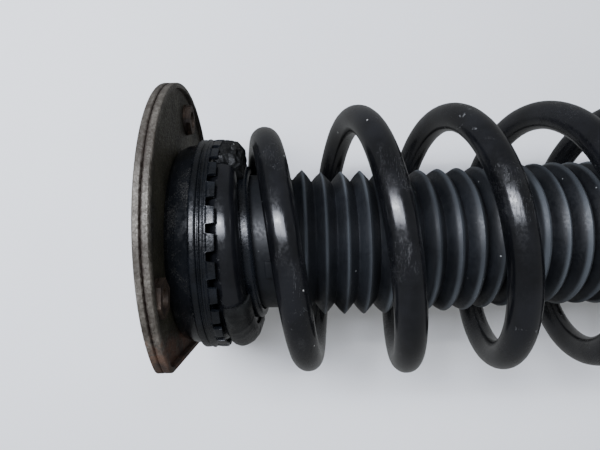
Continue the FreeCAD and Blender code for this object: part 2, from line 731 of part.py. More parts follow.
# ---- damper tube ----
def outer_tube():
    """Tube with its top edge rolled in over the seal."""
    return revolved([(TUBE_R, TUBE_BOTTOM_Z), (TUBE_R, TUBE_TOP - 1.2), (TUBE_R - 1.2, TUBE_TOP),
                     (CRIMP_R, TUBE_TOP),
                     (CRIMP_R, SEAL_TOP), (TUBE_BORE_R, SEAL_TOP), (TUBE_BORE_R, TUBE_BOTTOM_Z)])


def tube_cap():
    """Striker cap pressed over the tube's top."""
    inner = TUBE_R + RUNNING
    outer = inner + CAP_T - RUNNING
    top = TUBE_TOP + CAP_T
    return revolved([(CAP_HOLE_R, TUBE_TOP), (inner, TUBE_TOP), (inner, TUBE_TOP - CAP_SKIRT),
                     (outer, TUBE_TOP - CAP_SKIRT), (outer, top - 1), (outer - 1, top), (CAP_HOLE_R, top)])


def oil_seal():
    """Lip seal that runs on the rod."""
    bore = ROD_R + RUNNING
    return revolved([(bore, SEAL_TOP - 2.5), (bore + 3, SEAL_TOP), (TUBE_BORE_R, SEAL_TOP),
                     (TUBE_BORE_R, GUIDE_TOP),
                     (bore + 2, GUIDE_TOP), (bore, GUIDE_TOP + 1.5)])


def rod_guide():
    """Stepped guide: a flange in the tube and a spigot in the cylinder."""
    bore = ROD_R + RUNNING + GUIDE_BUSH_T
    lip = ROD_R + SLIP
    return revolved([(lip, GUIDE_TOP), (TUBE_BORE_R, GUIDE_TOP), (TUBE_BORE_R, CYLINDER_TOP),
                     (CYLINDER_R, CYLINDER_TOP),
                     (CYLINDER_R, GUIDE_BOTTOM), (bore, GUIDE_BOTTOM),
                     (bore, GUIDE_BOTTOM + GUIDE_BUSH_LENGTH),
                     (lip, GUIDE_BOTTOM + GUIDE_BUSH_LENGTH)])


def guide_bush():
    inner = ROD_R + RUNNING
    return ring(inner + GUIDE_BUSH_T, inner, GUIDE_BOTTOM, GUIDE_BOTTOM + GUIDE_BUSH_LENGTH)


def inner_cylinder():
    return ring(CYLINDER_R + CYLINDER_T, CYLINDER_R, BASE_VALVE_BOTTOM + BASE_VALVE_FLANGE_T, CYLINDER_TOP)


def base_valve():
    """Foot valve body: a plug in the cylinder on a slotted flange, with six passages."""
    step = BASE_VALVE_BOTTOM + BASE_VALVE_FLANGE_T
    flange = CYLINDER_R + CYLINDER_T
    body = revolved([(RIVET_R, BASE_VALVE_BOTTOM + 3), (flange - 5, BASE_VALVE_BOTTOM + 3),
                     (flange - 5, BASE_VALVE_BOTTOM), (flange, BASE_VALVE_BOTTOM), (flange, step),
                     (CYLINDER_R, step), (CYLINDER_R, BASE_VALVE_TOP), (RIVET_R, BASE_VALVE_TOP)])
    drill = Part.makeCylinder(1.5, BASE_VALVE_T + 2, V(0, 0, BASE_VALVE_BOTTOM - 1))
    slot = Part.makeBox(8, 4, 2, V(flange - 6, -2, BASE_VALVE_BOTTOM))
    for i in range(6):
        body = body.cut(place(drill, (RIVET_R + CYLINDER_R) / 2, 60 * i))
        body = body.cut(place(slot, 0, 60 * i))
    return body


def base_valve_shims():
    return Part.Compound(shim_stack(BASE_VALVE_TOP, 1, RIVET_R, CYLINDER_R - 2.5))


def base_valve_rivet():
    """Rivet through the foot valve and its shims."""
    head = BASE_VALVE_TOP + SHIMS_T
    foot = BASE_VALVE_BOTTOM + 3
    peak = head + RIVET_HEAD_T
    return revolved([(0, peak), (RIVET_HEAD_R, peak), (RIVET_HEAD_R, head), (RIVET_R, head),
                     (RIVET_R, foot), (RIVET_R + 2, foot), (RIVET_R + 2, foot - 1.5), (0, foot - 1.5)])


def base_cup():
    """Bottom closure welded to the tube, shaped underneath to sit on the eye."""
    foot = EYE_R - 4
    cup = revolved([(0, BASE_VALVE_BOTTOM), (TUBE_BORE_R, BASE_VALVE_BOTTOM), (TUBE_BORE_R, TUBE_BOTTOM_Z),
                    (TUBE_R, TUBE_BOTTOM_Z), (TUBE_R - 1, TUBE_BOTTOM_Z - 4), (TUBE_R - 5, TUBE_BOTTOM_Z - 9),
                    (EYE_WIDTH / 2 - 2, TUBE_BOTTOM_Z - 13), (EYE_WIDTH / 2 - 3, foot), (0, foot)])
    return cup.cut(Part.makeCylinder(EYE_R, 4 * EYE_R, V(0, -2 * EYE_R, 0), V(0, 1, 0)))


# ---- lower spring pan and pad ----
def lower_spring_pan():
    """Pressed pan with a raised rim and a neck welded to the tube."""
    under = PAN_TOP - PAN_T
    neck = under - PAN_NECK
    collar = TUBE_R + PAN_T
    return revolved([(PAN_R, under + 1), (PAN_R, PAN_TOP + PAN_RIM), (PAN_R - PAN_T, PAN_TOP + PAN_RIM),
                     (PAN_R - PAN_T, PAN_TOP), (LOWER_PAD_IN_R, PAN_TOP), (collar, neck + PAN_T + 2),
                     (TUBE_R, neck + PAN_T),
                     (TUBE_R, neck - PAN_COLLAR), (collar, neck - PAN_COLLAR), (collar, neck),
                     (LOWER_PAD_IN_R + 1, under), (PAN_R - 1, under)])


def lower_spring_pad():
    """Rubber ring under the last coil with lips inside and outside the wire."""
    inner = LOWER_PAD_IN_R
    outer = LOWER_PAD_OUT_R
    lip = LOWER_PAD_TOP + LOWER_PAD_LIP
    groove_in = inner + LOWER_PAD_LIP_T
    groove_out = outer - LOWER_PAD_LIP_T
    pad = revolved([(inner, PAN_TOP), (outer, PAN_TOP), (outer, lip - 1.5), (groove_out + 0.8, lip),
                    (groove_out, lip),
                    (groove_out, LOWER_PAD_TOP + 2.5), (groove_out - 3, LOWER_PAD_TOP),
                    (groove_in + 3, LOWER_PAD_TOP), (groove_in, LOWER_PAD_TOP + 2.5), (groove_in, lip),
                    (inner + 0.8, lip),
                    (inner, lip - 1.5)])
    near_end = ring(COIL_R + 3 * WIRE_R, 0, PAN_TOP - 1, LOWER_PAD_TOP + 5 * WIRE_R)
    return pad.cut(coil_wire(WIRE_R + CONTACT_GAP / 2).common(near_end))


# ---- lower eye ----
def eye_ring():
    return turned_y(EYE_R, EYE_R - EYE_T, EYE_WIDTH)


def eye_bush_shell():
    return turned_y(EYE_R - EYE_T, EYE_R - EYE_T - BUSH_SHELL_T, BUSH_SHELL_WIDTH)


def eye_bush_rubber():
    return turned_y(EYE_R - EYE_T - BUSH_SHELL_T, EYE_SLEEVE_R + RUNNING, BUSH_WIDTH)


def eye_sleeve():
    return turned_y(EYE_SLEEVE_R, EYE_SLEEVE_BORE_R, EYE_SLEEVE_WIDTH)


NODES = {
    "body_plate": body_plate,
    "spring_side_plate": spring_side_plate,
    "weld_nuts": weld_nuts,
    "mount_housing": mount_housing,
    "mount_bush": mount_bush,
    "mount_sleeve": mount_sleeve,
    "rebound_washer": rebound_washer,
    "rod_nut": rod_nut,
    "bump_washer": bump_washer,
    "bump_stop_cup": bump_stop_cup,
    "bump_stop": bump_stop,
    "upper_spring_seat": upper_spring_seat,
    "upper_spring_pad": upper_spring_pad,
    "spring_end_stop": spring_end_stop,
    "spring_sleeve": spring_sleeve,
    "coil_spring": coil_spring,
    "dust_boot": dust_boot,
    "piston_rod": piston_rod,
    "rebound_stop": rebound_stop,
    "rebound_collar": rebound_collar,
    "piston": piston,
    "piston_band": piston_band,
    "piston_shims": piston_shims,
    "piston_nut": piston_nut,
    "outer_tube": outer_tube,
    "tube_cap": tube_cap,
    "oil_seal": oil_seal,
    "rod_guide": rod_guide,
    "guide_bush": guide_bush,
    "inner_cylinder": inner_cylinder,
    "base_valve": base_valve,
    "base_valve_shims": base_valve_shims,
    "base_valve_rivet": base_valve_rivet,
    "base_cup": base_cup,
    "lower_spring_pan": lower_spring_pan,
    "lower_spring_pad": lower_spring_pad,
    "eye_ring": eye_ring,
    "eye_bush_shell": eye_bush_shell,
    "eye_bush_rubber": eye_bush_rubber,
    "eye_sleeve": eye_sleeve,
}

os.makedirs("parts", exist_ok=True)
for name, make in NODES.items():
    shape = make()
    shape.exportStep(f"parts/{name}.step")
    print(f"{name}: {len(shape.Solids)} solid(s), {shape.Volume / 1000:.2f} cm3, valid {shape.isValid()}")
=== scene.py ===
"""Looks of a rear coil-over shock absorber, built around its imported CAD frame.

Everything is in metres in the part's own frame: Z runs up the strut's axis to the body plate,
and Y is the lower eye's bolt. Surfaces are worked out with numpy on grids of two parameters.
"""
import json
import math

import bpy
import numpy as np
from mathutils import Matrix, Vector


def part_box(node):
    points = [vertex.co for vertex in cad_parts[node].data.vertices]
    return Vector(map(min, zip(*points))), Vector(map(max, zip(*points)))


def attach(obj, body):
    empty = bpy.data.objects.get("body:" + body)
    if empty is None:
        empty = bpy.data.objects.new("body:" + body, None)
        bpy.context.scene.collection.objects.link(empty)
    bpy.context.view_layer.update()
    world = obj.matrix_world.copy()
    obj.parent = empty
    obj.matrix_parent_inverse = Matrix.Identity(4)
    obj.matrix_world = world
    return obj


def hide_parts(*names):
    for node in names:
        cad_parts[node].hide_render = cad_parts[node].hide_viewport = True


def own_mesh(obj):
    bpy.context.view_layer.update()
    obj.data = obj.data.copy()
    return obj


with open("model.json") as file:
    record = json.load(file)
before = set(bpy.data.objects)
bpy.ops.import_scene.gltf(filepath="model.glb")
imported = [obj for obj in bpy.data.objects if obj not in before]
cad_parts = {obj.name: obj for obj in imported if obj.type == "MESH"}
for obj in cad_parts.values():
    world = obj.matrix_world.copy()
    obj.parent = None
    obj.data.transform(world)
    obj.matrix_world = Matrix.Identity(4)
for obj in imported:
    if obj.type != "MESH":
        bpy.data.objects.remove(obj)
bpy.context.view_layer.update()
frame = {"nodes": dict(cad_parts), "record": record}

MM = 0.001

# ---- sizes of the pieces made here, at the CAD part's values: millimetres, degrees, turns ----
PLATE_TOP = 480.0
WIRE_R = 6.5
COIL_TURNS = 6.75
COIL_R = 56.6
TOP_END_R = 40.2
BOTTOM_END_R = 50.0
TIP_DEPTH = 25.4
TIP_ANGLE = -45.0
END_PITCH = 14.4
FULL_PITCH = 44.0
DEAD_TURNS = 0.4
PITCH_EASE_TURNS = 1.0
RADIUS_EASE_TURNS = 1.45
CONTACT_GAP = 0.1
BOOT_NECK_R = 31.7
BOOT_WALL = 1.6
BOOT_TOP = 10.0
BOOT_NECK_END = 55.5
BOOT_VALLEY_R = 29.0
BOOT_CREST_R = 33.8
BOOT_PITCH = 9.25
BOOT_PLEATS = 18
BOOT_CUFF = 10.0
BOOT_CUFF_R = 26.9
TAB_DEPTH = 42.6
TAB_HEIGHT = 6.3
TAB_WIDTH = 8.0
TAB_PROUD = 1.3
TAB_ANGLE = -112.0
SEAT_R = 46.7
SEAT_T = 2.5
SEAT_SKIRT_END = 20.0
PAD_TOP_DEPTH = 17.1
PAD_FLOOR_DEPTH = 18.8
PAD_UNDERSIDE_DEPTH = 20.8
PAD_RIM_START = 14.1
PAD_RIM_END = 24.6
RIM_IN_R = 46.8
RIM_OUT_R = 48.6
HUB_IN_R = 32.0
HUB_OUT_R = 33.6
TOOTH_COUNT = 28
TOOTH_DEPTH = 3.4
NOTCH_SHARE = 0.36
RAMP_TURNS = 0.6
HUB_LIP_R = 36.0
HUB_LIP_START = 5.19
HUB_LIP_END = 10.89
HUB_LIP_TURNS = 0.44
STOP_BLOCK_START = -43.5
STOP_BLOCK_END = 2.5
STOP_BLOCK_DEPTHS = (22.0, 24.9, 30.5, 34.0)
SLEEVE_T = 1.7
SLEEVE_START_TURN = 0.22
SLEEVE_END_TURN = 0.44
MOUNT_SLEEVE_R = 11.0
MOUNT_BUSH_R = 27.5
MOUNT_BUSH_TOP = 7.5
MOUNT_BUSH_END = 25.5
BUMP_TOP_Z = 447.5
BUMP_LENGTH = 55.0
BUMP_R = 22.0
ROD_R = 9.0
TUBE_R = 25.0
PAN_COLLAR = 13.0
EYE_R = 22.0
EYE_BUSH_R = 16.0
EYE_SLEEVE_R = 10.05
EYE_BUSH_HALF = 16.0

# ---- shape beyond the CAD part's, in millimetres of depth or length ----
BOOT_SAG = 1.7
BOOT_SAG_DEPTHS = (56.0, 72.0, 128.0, 158.0)
SOFT_PLEATS = 3.0
WELD_DROP = 2.4

# ---- the plates' finish, in metres, and for the pieces given their own mesh: what is kept, about which Z ----
FLANGE_MIDDLE = (0.0044, 0.0005, 0.0)
FLANGE_RIM_REACH = (0.0645, 0.0672)
FLANGE_FLAT_X = (-0.012, -0.048)
PLATE_SEAM_Z = 0.4769
SPRING_KEEP, SPRING_ANCHOR_Z = 0.519, 0.4546
BOOT_KEEP, BOOT_ANCHOR_Z = 0.461, 0.470
STOP_KEEP, STOP_ANCHOR_Z = 0.78, 0.4475

# ---- how finely the pieces are cut ----
SPRING_RINGS, SPRING_COLUMNS = 620, 36
BOOT_COLUMNS = 160
BLOCK_RINGS = 96
SLEEVE_RINGS, SLEEVE_COLUMNS = 84, 56

# ---- camera and floor: places in metres, lens and sensor in millimetres, turns in radians ----
CAMERA_PLACE = (0.0, -0.2308, 0.4276)
CAMERA_LENS, CAMERA_SENSOR = 28.62, 36.0
CAMERA_TURNS = {"Z": 0.0287, "X": -0.0314, "Y": 0.0278}
FLOOR_Y, FLOOR_HALF = 0.0712, 2.2


# ---- arithmetic on grids of points ----
def around_axis(radius, angle, height):
    """Points at a radius and an angle about Z and at a height, each a number or an array."""
    return np.stack(np.broadcast_arrays(radius * np.cos(angle), radius * np.sin(angle), height), -1)


def full_turn(count):
    """Even angles round a circle, without the last one that would meet the first."""
    return np.arange(count) * 2 * math.pi / count


def unit(vectors):
    """Each row of an array of vectors, made one long."""
    return vectors / np.linalg.norm(vectors, axis=1)[:, None]


def square_to(vectors, run):
    """Unit vectors left of each vector when its share along run is taken away."""
    return unit(vectors - run * (vectors * run).sum(1)[:, None])


def spokes(first, second, angles):
    """Directions that turn from the first towards the second by each angle, a ring for each row."""
    return (first[:, None] * np.cos(angles)[None, :, None]
            + second[:, None] * np.sin(angles)[None, :, None])


def signed_power(value, power):
    """A value's size to a power, with its sign. A power under 1 makes a wave squarer."""
    return np.sign(value) * np.abs(value) ** power


def from_nearer_end(count):
    """0, 1, 2 ... 2, 1, 0: how many steps each of count rings is from the nearer end."""
    return np.minimum(np.arange(count), np.arange(count)[::-1])


def bump_at(share, middle, width):
    """Bell curve: e to the power of minus the square of (share - middle) / width."""
    return np.exp(-((share - middle) / width) ** 2)


# ---- meshes from grids ----
def signed_volume(points, triangles):
    """Six times the volume that triangles enclose: the sum of each corner triple's box product."""
    a, b, c = (points[triangles[:, i]] for i in range(3))
    return float((a * np.cross(b, c)).sum())


def skin(name, rows, along=False, smooth=math.radians(38)):
    """Closed mesh from a grid of points. rows[i, j] is column j of ring i. Neighbouring rings and
    columns share a face, and the last column joins the first. along joins the last ring to the
    first; without it a fan to a ring's middle closes each end."""
    count, width = rows.shape[:2]
    points = rows.reshape(-1, 3)
    ring = np.arange(count if along else count - 1)
    i, j = (g.ravel() for g in np.meshgrid(ring, np.arange(width), indexing="ij"))
    i2, j2 = (i + 1) % count, (j + 1) % width
    quads = np.stack([i * width + j, i * width + j2, i2 * width + j2, i2 * width + j], 1)
    spot = np.stack([np.stack([i, j], 1), np.stack([i, j + 1], 1),
                     np.stack([i + 1, j + 1], 1), np.stack([i + 1, j], 1)], 1).astype(float)
    spot /= np.array([count, width])
    fans, fan_spots = [], []
    if not along:
        for end in (0, count - 1):
            pole = len(points)
            points = np.vstack([points, rows[end].mean(0)])
            loop = end * width + np.arange(width)
            follow = np.roll(loop, -1)
            sides = (follow, loop) if end == 0 else (loop, follow)
            fans.append(np.stack([*sides, np.full(width, pole)], 1))
            fan_spots.append(np.full((width, 3, 2), end / count))
    triangles = np.vstack([quads[:, [0, 1, 2]], quads[:, [0, 2, 3]]] + fans)
    turn = signed_volume(points, triangles) < 0
    faces = quads[:, ::-1] if turn else quads
    corners = [faces.ravel()]
    spots = [(spot[:, ::-1] if turn else spot).reshape(-1, 2)]
    for fan, at in zip(fans, fan_spots):
        corners.append((fan[:, ::-1] if turn else fan).ravel())
        spots.append(at.reshape(-1, 2))
    sizes = np.concatenate([np.full(len(faces), 4)] + [np.full(len(fan), 3) for fan in fans])
    mesh = bpy.data.meshes.new(name)
    corners = np.concatenate(corners).astype(np.int32)
    mesh.vertices.add(len(points))
    mesh.vertices.foreach_set("co", points.astype(np.float32).ravel())
    mesh.loops.add(len(corners))
    mesh.loops.foreach_set("vertex_index", corners)
    mesh.polygons.add(len(sizes))
    starts = np.concatenate([[0], np.cumsum(sizes)[:-1]]).astype(np.int32)
    mesh.polygons.foreach_set("loop_start", starts)
    mesh.update(calc_edges=True)
    mesh.validate()
    layer = mesh.uv_layers.new(name="Surface")
    layer.data.foreach_set("uv", np.vstack(spots).astype(np.float32).ravel())
    mesh.polygons.foreach_set("use_smooth", np.ones(len(sizes), bool))
    mesh.set_sharp_from_angle(angle=smooth)
    piece = bpy.data.objects.new(name, mesh)
    bpy.context.scene.collection.objects.link(piece)
    return piece


def lumps(points, size, seed, waves=9):
    """Smooth unevenness between about -1 and 1: a sum of sine waves that cross the points in
    seeded directions, each with a wavelength near size and a seeded phase."""
    rng = np.random.default_rng(seed)
    heading = rng.normal(size=(waves, 3))
    heading /= np.linalg.norm(heading, axis=1)[:, None]
    length = size * rng.uniform(0.6, 1.6, waves)
    phase = rng.uniform(0, 2 * math.pi, waves)
    wave = np.sin(points @ (heading / length[:, None]).T * 2 * math.pi + phase)
    return wave.sum(-1) / math.sqrt(waves * 2)


def ease(x):
    """Rises from 0 to 1 with a fast start and a soft finish: 1 - (1-x)^3 (1+3x)."""
    x = np.clip(x, 0, 1)
    return 1 - (1 - x) ** 3 * (1 + 3 * x)


def smooth_step(x):
    """Turns 0..1 into 0..1 with a flat start and finish, and holds both ends."""
    x = np.clip(x, 0, 1)
    return x * x * (3 - 2 * x)


def resample(outline, spacing):
    """Points at even steps along a polyline, so that a profile bends where its corners are."""
    outline = np.asarray(outline, float)
    steps = np.hypot(*np.diff(outline, axis=0).T)
    run = np.concatenate([[0], np.cumsum(steps)])
    at = np.linspace(0, run[-1], max(int(run[-1] / spacing), 2) + 1)
    return np.stack([np.interp(at, run, outline[:, k]) for k in range(2)], 1)


def spun(name, outline, columns, shift=None, smooth=math.radians(38)):
    """Surface of revolution about Z: a closed profile of points (radius, height) in millimetres is
    carried round the axis. shift(points, angle) may move the grid's points, in millimetres."""
    angle = full_turn(columns)
    rows = around_axis(outline[:, :1], angle, outline[:, 1:])
    if shift is not None:
        rows = shift(rows, np.broadcast_to(angle, rows.shape[:2]))
    return skin(name, rows * MM, along=True, smooth=smooth)


# ---- the spring's centreline ----
def spring_line(turns):
    """Points of the wire's middle at the given turns. Depth is the running sum of the pitch, the
    pitch grows from the closed end to full and back, and the radius narrows at both ends."""
    fine = np.linspace(0, COIL_TURNS, 6000)
    left = COIL_TURNS - fine
    growth = np.minimum(ease((fine - DEAD_TURNS) / PITCH_EASE_TURNS),
                        ease((left - DEAD_TURNS) / PITCH_EASE_TURNS))
    pitch = END_PITCH + (FULL_PITCH - END_PITCH) * growth
    gained = np.cumsum((pitch[1:] + pitch[:-1]) / 2 * np.diff(fine))
    depth = TIP_DEPTH + np.concatenate([[0], gained])
    radius = COIL_R - (COIL_R - TOP_END_R) * (1 - ease((fine - DEAD_TURNS) / RADIUS_EASE_TURNS))
    radius = radius - (COIL_R - BOTTOM_END_R) * (1 - ease((left - DEAD_TURNS) / RADIUS_EASE_TURNS))
    r, d = np.interp(turns, fine, radius), np.interp(turns, fine, depth)
    return around_axis(r, np.radians(TIP_ANGLE - 360 * turns), PLATE_TOP - d)


def wire_frame(turns):
    """The wire's middle at the given turns, with its outward and sideways directions, both square
    to the wire."""
    step = 1e-4
    middle = spring_line(turns)
    run = unit(spring_line(turns + step) - spring_line(turns - step))
    outward = square_to(middle * [1, 1, 0], run)
    return middle, outward, np.cross(outward, run)


def tube_rows(turns, radii, angles):
    """Rings about the wire's line: each point is the middle plus radius times a direction that
    turns from outward towards the strut's top by its angle."""
    middle, outward, side = wire_frame(turns)
    up = side * np.sign(side[:, 2:])
    return middle[:, None] + spokes(outward, up, angles) * radii[..., None]


def coil_spring():
    """Round wire along the spring's line, with cut ends whose edges are rounded, and a slightly
    uneven coat that is a few hundredths thicker in places."""
    margin, edge = 0.004, 0.8
    near_end = np.linspace(0, 1, 5)[:-1]
    between = np.linspace(margin, COIL_TURNS - margin, SPRING_RINGS)
    turns = np.concatenate([margin * near_end, between, COIL_TURNS - margin * near_end[::-1]])
    angles = full_turn(SPRING_COLUMNS)
    radii = np.full((len(turns), SPRING_COLUMNS), WIRE_R)
    for k, share in enumerate(np.sqrt(1 - (1 - near_end) ** 2)):
        radii[k] = radii[-1 - k] = WIRE_R - edge * (1 - share)
    rows = tube_rows(turns, radii, angles)
    coat = lumps(rows, 9.0, 3) * 0.035 + lumps(rows, 2.6, 4) * 0.012
    rows = tube_rows(turns, radii + coat - 0.03, angles)
    return skin("coil_spring_coated", rows * MM)


def boot_profile():
    """Outside of the boot from its top to its cuff: a plain neck, then pleats whose flanks are
    nearly straight, whose crests narrow to a moulded ridge, and whose valleys are small and flat.
    The first pleats are softer, and grow to the full shape over a few."""
    rng = np.random.default_rng(12)
    outline = [(BOOT_NECK_R - 0.5, BOOT_TOP), (BOOT_NECK_R, BOOT_TOP + 0.5),
               (BOOT_NECK_R, BOOT_NECK_END - 1.5)]
    share = np.linspace(0, 1, 23)[:-1]
    depth = BOOT_CREST_R - BOOT_VALLEY_R
    for k in range(BOOT_PLEATS):
        full = min(max((k - SOFT_PLEATS) / SOFT_PLEATS, 0.0), 1.0)
        lean = 0.5 + 0.05 * full
        rise = np.where(share < lean, share / lean, (1 - share) / (1 - lean))
        peaked = 1 - (1 - rise) ** (1.32 + 0.58 * full)
        crest = depth + rng.uniform(-0.3, 0.3)
        rib = 0.35 * bump_at(share, lean, 0.05)
        radius = BOOT_VALLEY_R + crest * np.clip(peaked * 1.06 - 0.06, 0, 1) + rib
        slack = rng.uniform(-0.25, 0.25) * np.sin(math.pi * share)
        outline += list(zip(radius, BOOT_NECK_END + BOOT_PITCH * (k + share) + slack))
    end = BOOT_NECK_END + BOOT_PITCH * BOOT_PLEATS
    outline += [(BOOT_VALLEY_R, end), (BOOT_CUFF_R + 0.3, end + 2), (BOOT_CUFF_R, end + 3),
                (BOOT_CUFF_R, end + BOOT_CUFF - 0.5), (BOOT_CUFF_R - 0.4, end + BOOT_CUFF)]
    return np.array(outline)


def dust_boot():
    """The boot's outside profile and the same profile one wall further in, carried round the axis
    as one closed loop. Waves round each pleat make it lie a little unevenly, and the upper part
    hangs a little towards -X. The point attribute "crest" marks the pleats' tops for the finish's
    painted highlight."""
    outside = boot_profile()
    inside = outside[::-1] - [BOOT_WALL, 0]
    inside[0, 1] = outside[-1, 1]
    loop = np.vstack([outside, inside])
    loop[:, 1] = PLATE_TOP - loop[:, 1]

    def uneven(rows, angle):
        depth = PLATE_TOP - rows[..., 2]
        below_neck = PLATE_TOP - BOOT_NECK_END - rows[..., 2]
        swell = np.abs(0.12 * lumps(rows, 34.0, 21) * np.clip(below_neck / 10, 0, 1))
        drift = 0.35 * lumps(rows, 60.0, 22) * np.clip(below_neck / 20, 0, 1)
        start, full, fall, end = BOOT_SAG_DEPTHS
        hang = BOOT_SAG * smooth_step((depth - start) / (full - start))
        hang = hang * (1 - smooth_step((depth - fall) / (end - fall)))
        moved = rows + around_axis(1.0, angle, 0.0) * swell[..., None]
        return moved + drift[..., None] * [0, 0, 1] - hang[..., None] * [1, 0, 0]

    boot = spun("dust_boot_pleated", loop, BOOT_COLUMNS, shift=uneven, smooth=math.radians(50))
    height = np.concatenate([outside[:, 0], outside[::-1, 0]]) - BOOT_VALLEY_R
    crest = smooth_step((height / (BOOT_CREST_R - BOOT_VALLEY_R) - 0.82) / 0.18)
    crest *= loop[:, 1] < PLATE_TOP - BOOT_NECK_END
    mark = boot.data.attributes.new("crest", "FLOAT", "POINT")
    mark.data.foreach_set("value", np.repeat(crest, BOOT_COLUMNS).astype(np.float32))
    return boot


# ---- rubber pieces of the top end ----
def smoothed(outline, passes=2):
    """Rounds a closed profile's corners: each point moves halfway to its neighbours' middle."""
    for _ in range(passes):
        outline = outline / 2 + (np.roll(outline, 1, 0) + np.roll(outline, -1, 0)) / 4
    return outline


def closed_profile(corners, spacing, passes=2):
    """Even points round a closed outline of corners, with its corners rounded."""
    loop = resample(np.vstack([corners, corners[:1]]), spacing)[:-1]
    return smoothed(loop, passes)


def to_height(outline):
    """A profile of (radius, depth under the top plate) as (radius, height)."""
    return np.stack([outline[:, 0], PLATE_TOP - outline[:, 1]], 1)


def tooth_angles():
    """Angles round the rim, close together at each notch's two walls."""
    near = np.array([0.155, 0.168, 0.18, 0.192, 0.205])
    between = [0, -0.08, 0.08, -0.27, 0.27, -0.36, 0.36, -0.45, 0.45]
    offsets = np.sort(np.concatenate([-near, near, between]))
    middles = (np.arange(TOOTH_COUNT) + 0.5)[:, None]
    return ((middles + offsets[None]) * 2 * math.pi / TOOTH_COUNT).ravel()


def pad_ring():
    """The pad's rim, floor and hub as one closed profile carried round the axis. steps are the
    ribs on the rim's face, as (out from the face, share of its height). Below the notches' roof the
    rim's rows are drawn up towards it wherever the angle lies in a notch."""
    band = PAD_RIM_END - PAD_RIM_START
    steps = [(-0.4, 0.0), (0, 0.04), (0, 0.27), (-0.85, 0.30), (-0.85, 0.36), (0.35, 0.39),
             (0.35, 0.43), (-0.5, 0.455), (-0.5, 0.53), (0.05, 0.55), (-0.5, 0.585),
             (-0.5, 0.66), (0, 0.69), (0, 1.0)]
    inner, skirt, lower = SEAT_R - SEAT_T - 0.3, SEAT_SKIRT_END + 0.1, RIM_IN_R + 0.2
    corners = [(HUB_IN_R, PAD_TOP_DEPTH), (inner - 1, PAD_TOP_DEPTH), (inner, PAD_TOP_DEPTH + 1),
               (inner, skirt), (RIM_IN_R, skirt), (RIM_IN_R, PAD_RIM_START)]
    corners += [(RIM_OUT_R + out, PAD_RIM_START + share * band) for out, share in steps]
    corners += [(lower, PAD_RIM_END), (lower, PAD_UNDERSIDE_DEPTH), (inner, PAD_UNDERSIDE_DEPTH),
                (TOP_END_R + 2, PAD_FLOOR_DEPTH), (HUB_OUT_R, PAD_FLOOR_DEPTH),
                (HUB_OUT_R, PAD_FLOOR_DEPTH + 3), (HUB_IN_R, PAD_FLOOR_DEPTH + 3)]
    loop = to_height(closed_profile(np.array(corners), 0.42, 1))
    angle = tooth_angles()
    turn = np.abs(((angle * TOOTH_COUNT / (2 * math.pi)) % 1.0) - 0.5)
    notch = 1 - np.clip((turn - NOTCH_SHARE / 2 + 0.018) / 0.036, 0, 1)
    rows = around_axis(loop[:, :1], angle, loop[:, 1:])
    gather = 0.7
    roof = PLATE_TOP - PAD_RIM_END + TOOTH_DEPTH
    start = roof + gather
    on_rim = (loop[:, 0] > RIM_IN_R - 0.1)[:, None]
    height = rows[..., 2]
    drawn = start + (height - start) * (gather / (start - roof + TOOTH_DEPTH))
    share = np.where(on_rim & (height < start), notch[None], 0)
    rows[..., 2] = height + (drawn - height) * share
    away = around_axis(1.0, angle, 0.0)
    rows = rows + away[None] * (0.09 * lumps(rows, 22.0, 31))[..., None]
    return skin("upper_pad_ring", rows * MM, along=True)


def carried_on_end_coil(name, turns, sections):
    """Closed sections of (radius, depth from the wire's middle), one per turn value, carried along
    the end coil's helix, and closed by a pole at each end."""
    line = spring_line(turns)
    angle = np.radians(TIP_ANGLE - 360 * turns)[:, None]
    return skin(name, around_axis(sections[..., 0], angle, line[:, 2:] - sections[..., 1]) * MM)


def pad_ramp():
    """Wedge between the pad's flat floor and the rising end coil: its roof stays at the floor and
    its foot follows the wire."""
    turns = np.linspace(0.012, RAMP_TURNS, 110)
    inner, outer, foot = HUB_OUT_R - 0.4, SEAT_R - 1.0, -WIRE_R - 0.12
    share = closed_profile(np.array([(0.0, 0.0), (1, 0), (1, 1), (0, 1)]), 0.12, 1)
    roof = (PAD_FLOOR_DEPTH - 0.25 - TIP_DEPTH - END_PITCH * turns)[:, None]
    depth = roof + (foot - roof) * share[:, 1]
    radius = np.broadcast_to(inner + (outer - inner) * share[:, 0], depth.shape)
    return carried_on_end_coil("upper_pad_ramp", turns, np.stack([radius, depth], -1))


def pad_lip():
    """Band that follows the end coil on its inner side and hooks under the wire."""
    turns = np.linspace(-0.1, HUB_LIP_TURNS, 120)
    inner, outer, top = HUB_IN_R + 0.25, HUB_OUT_R - 0.12, -WIRE_R + 1
    corners = [(inner, top), (outer, top), (outer, HUB_LIP_START), (HUB_LIP_R - 0.4, HUB_LIP_START),
               (HUB_LIP_R, HUB_LIP_START + 0.4), (HUB_LIP_R, HUB_LIP_END - 1.2),
               (HUB_LIP_R - 1.2, HUB_LIP_END), (inner, HUB_LIP_END)]
    section = closed_profile(np.array(corners), 0.6, 1)
    wave = 0.12 * lumps(np.stack([turns * 220, turns * 0, turns * 0], 1), 30.0, 8)
    sections = section[None] + np.stack([wave * 0, wave], 1)[:, None]
    return carried_on_end_coil("upper_pad_lip", turns, sections)


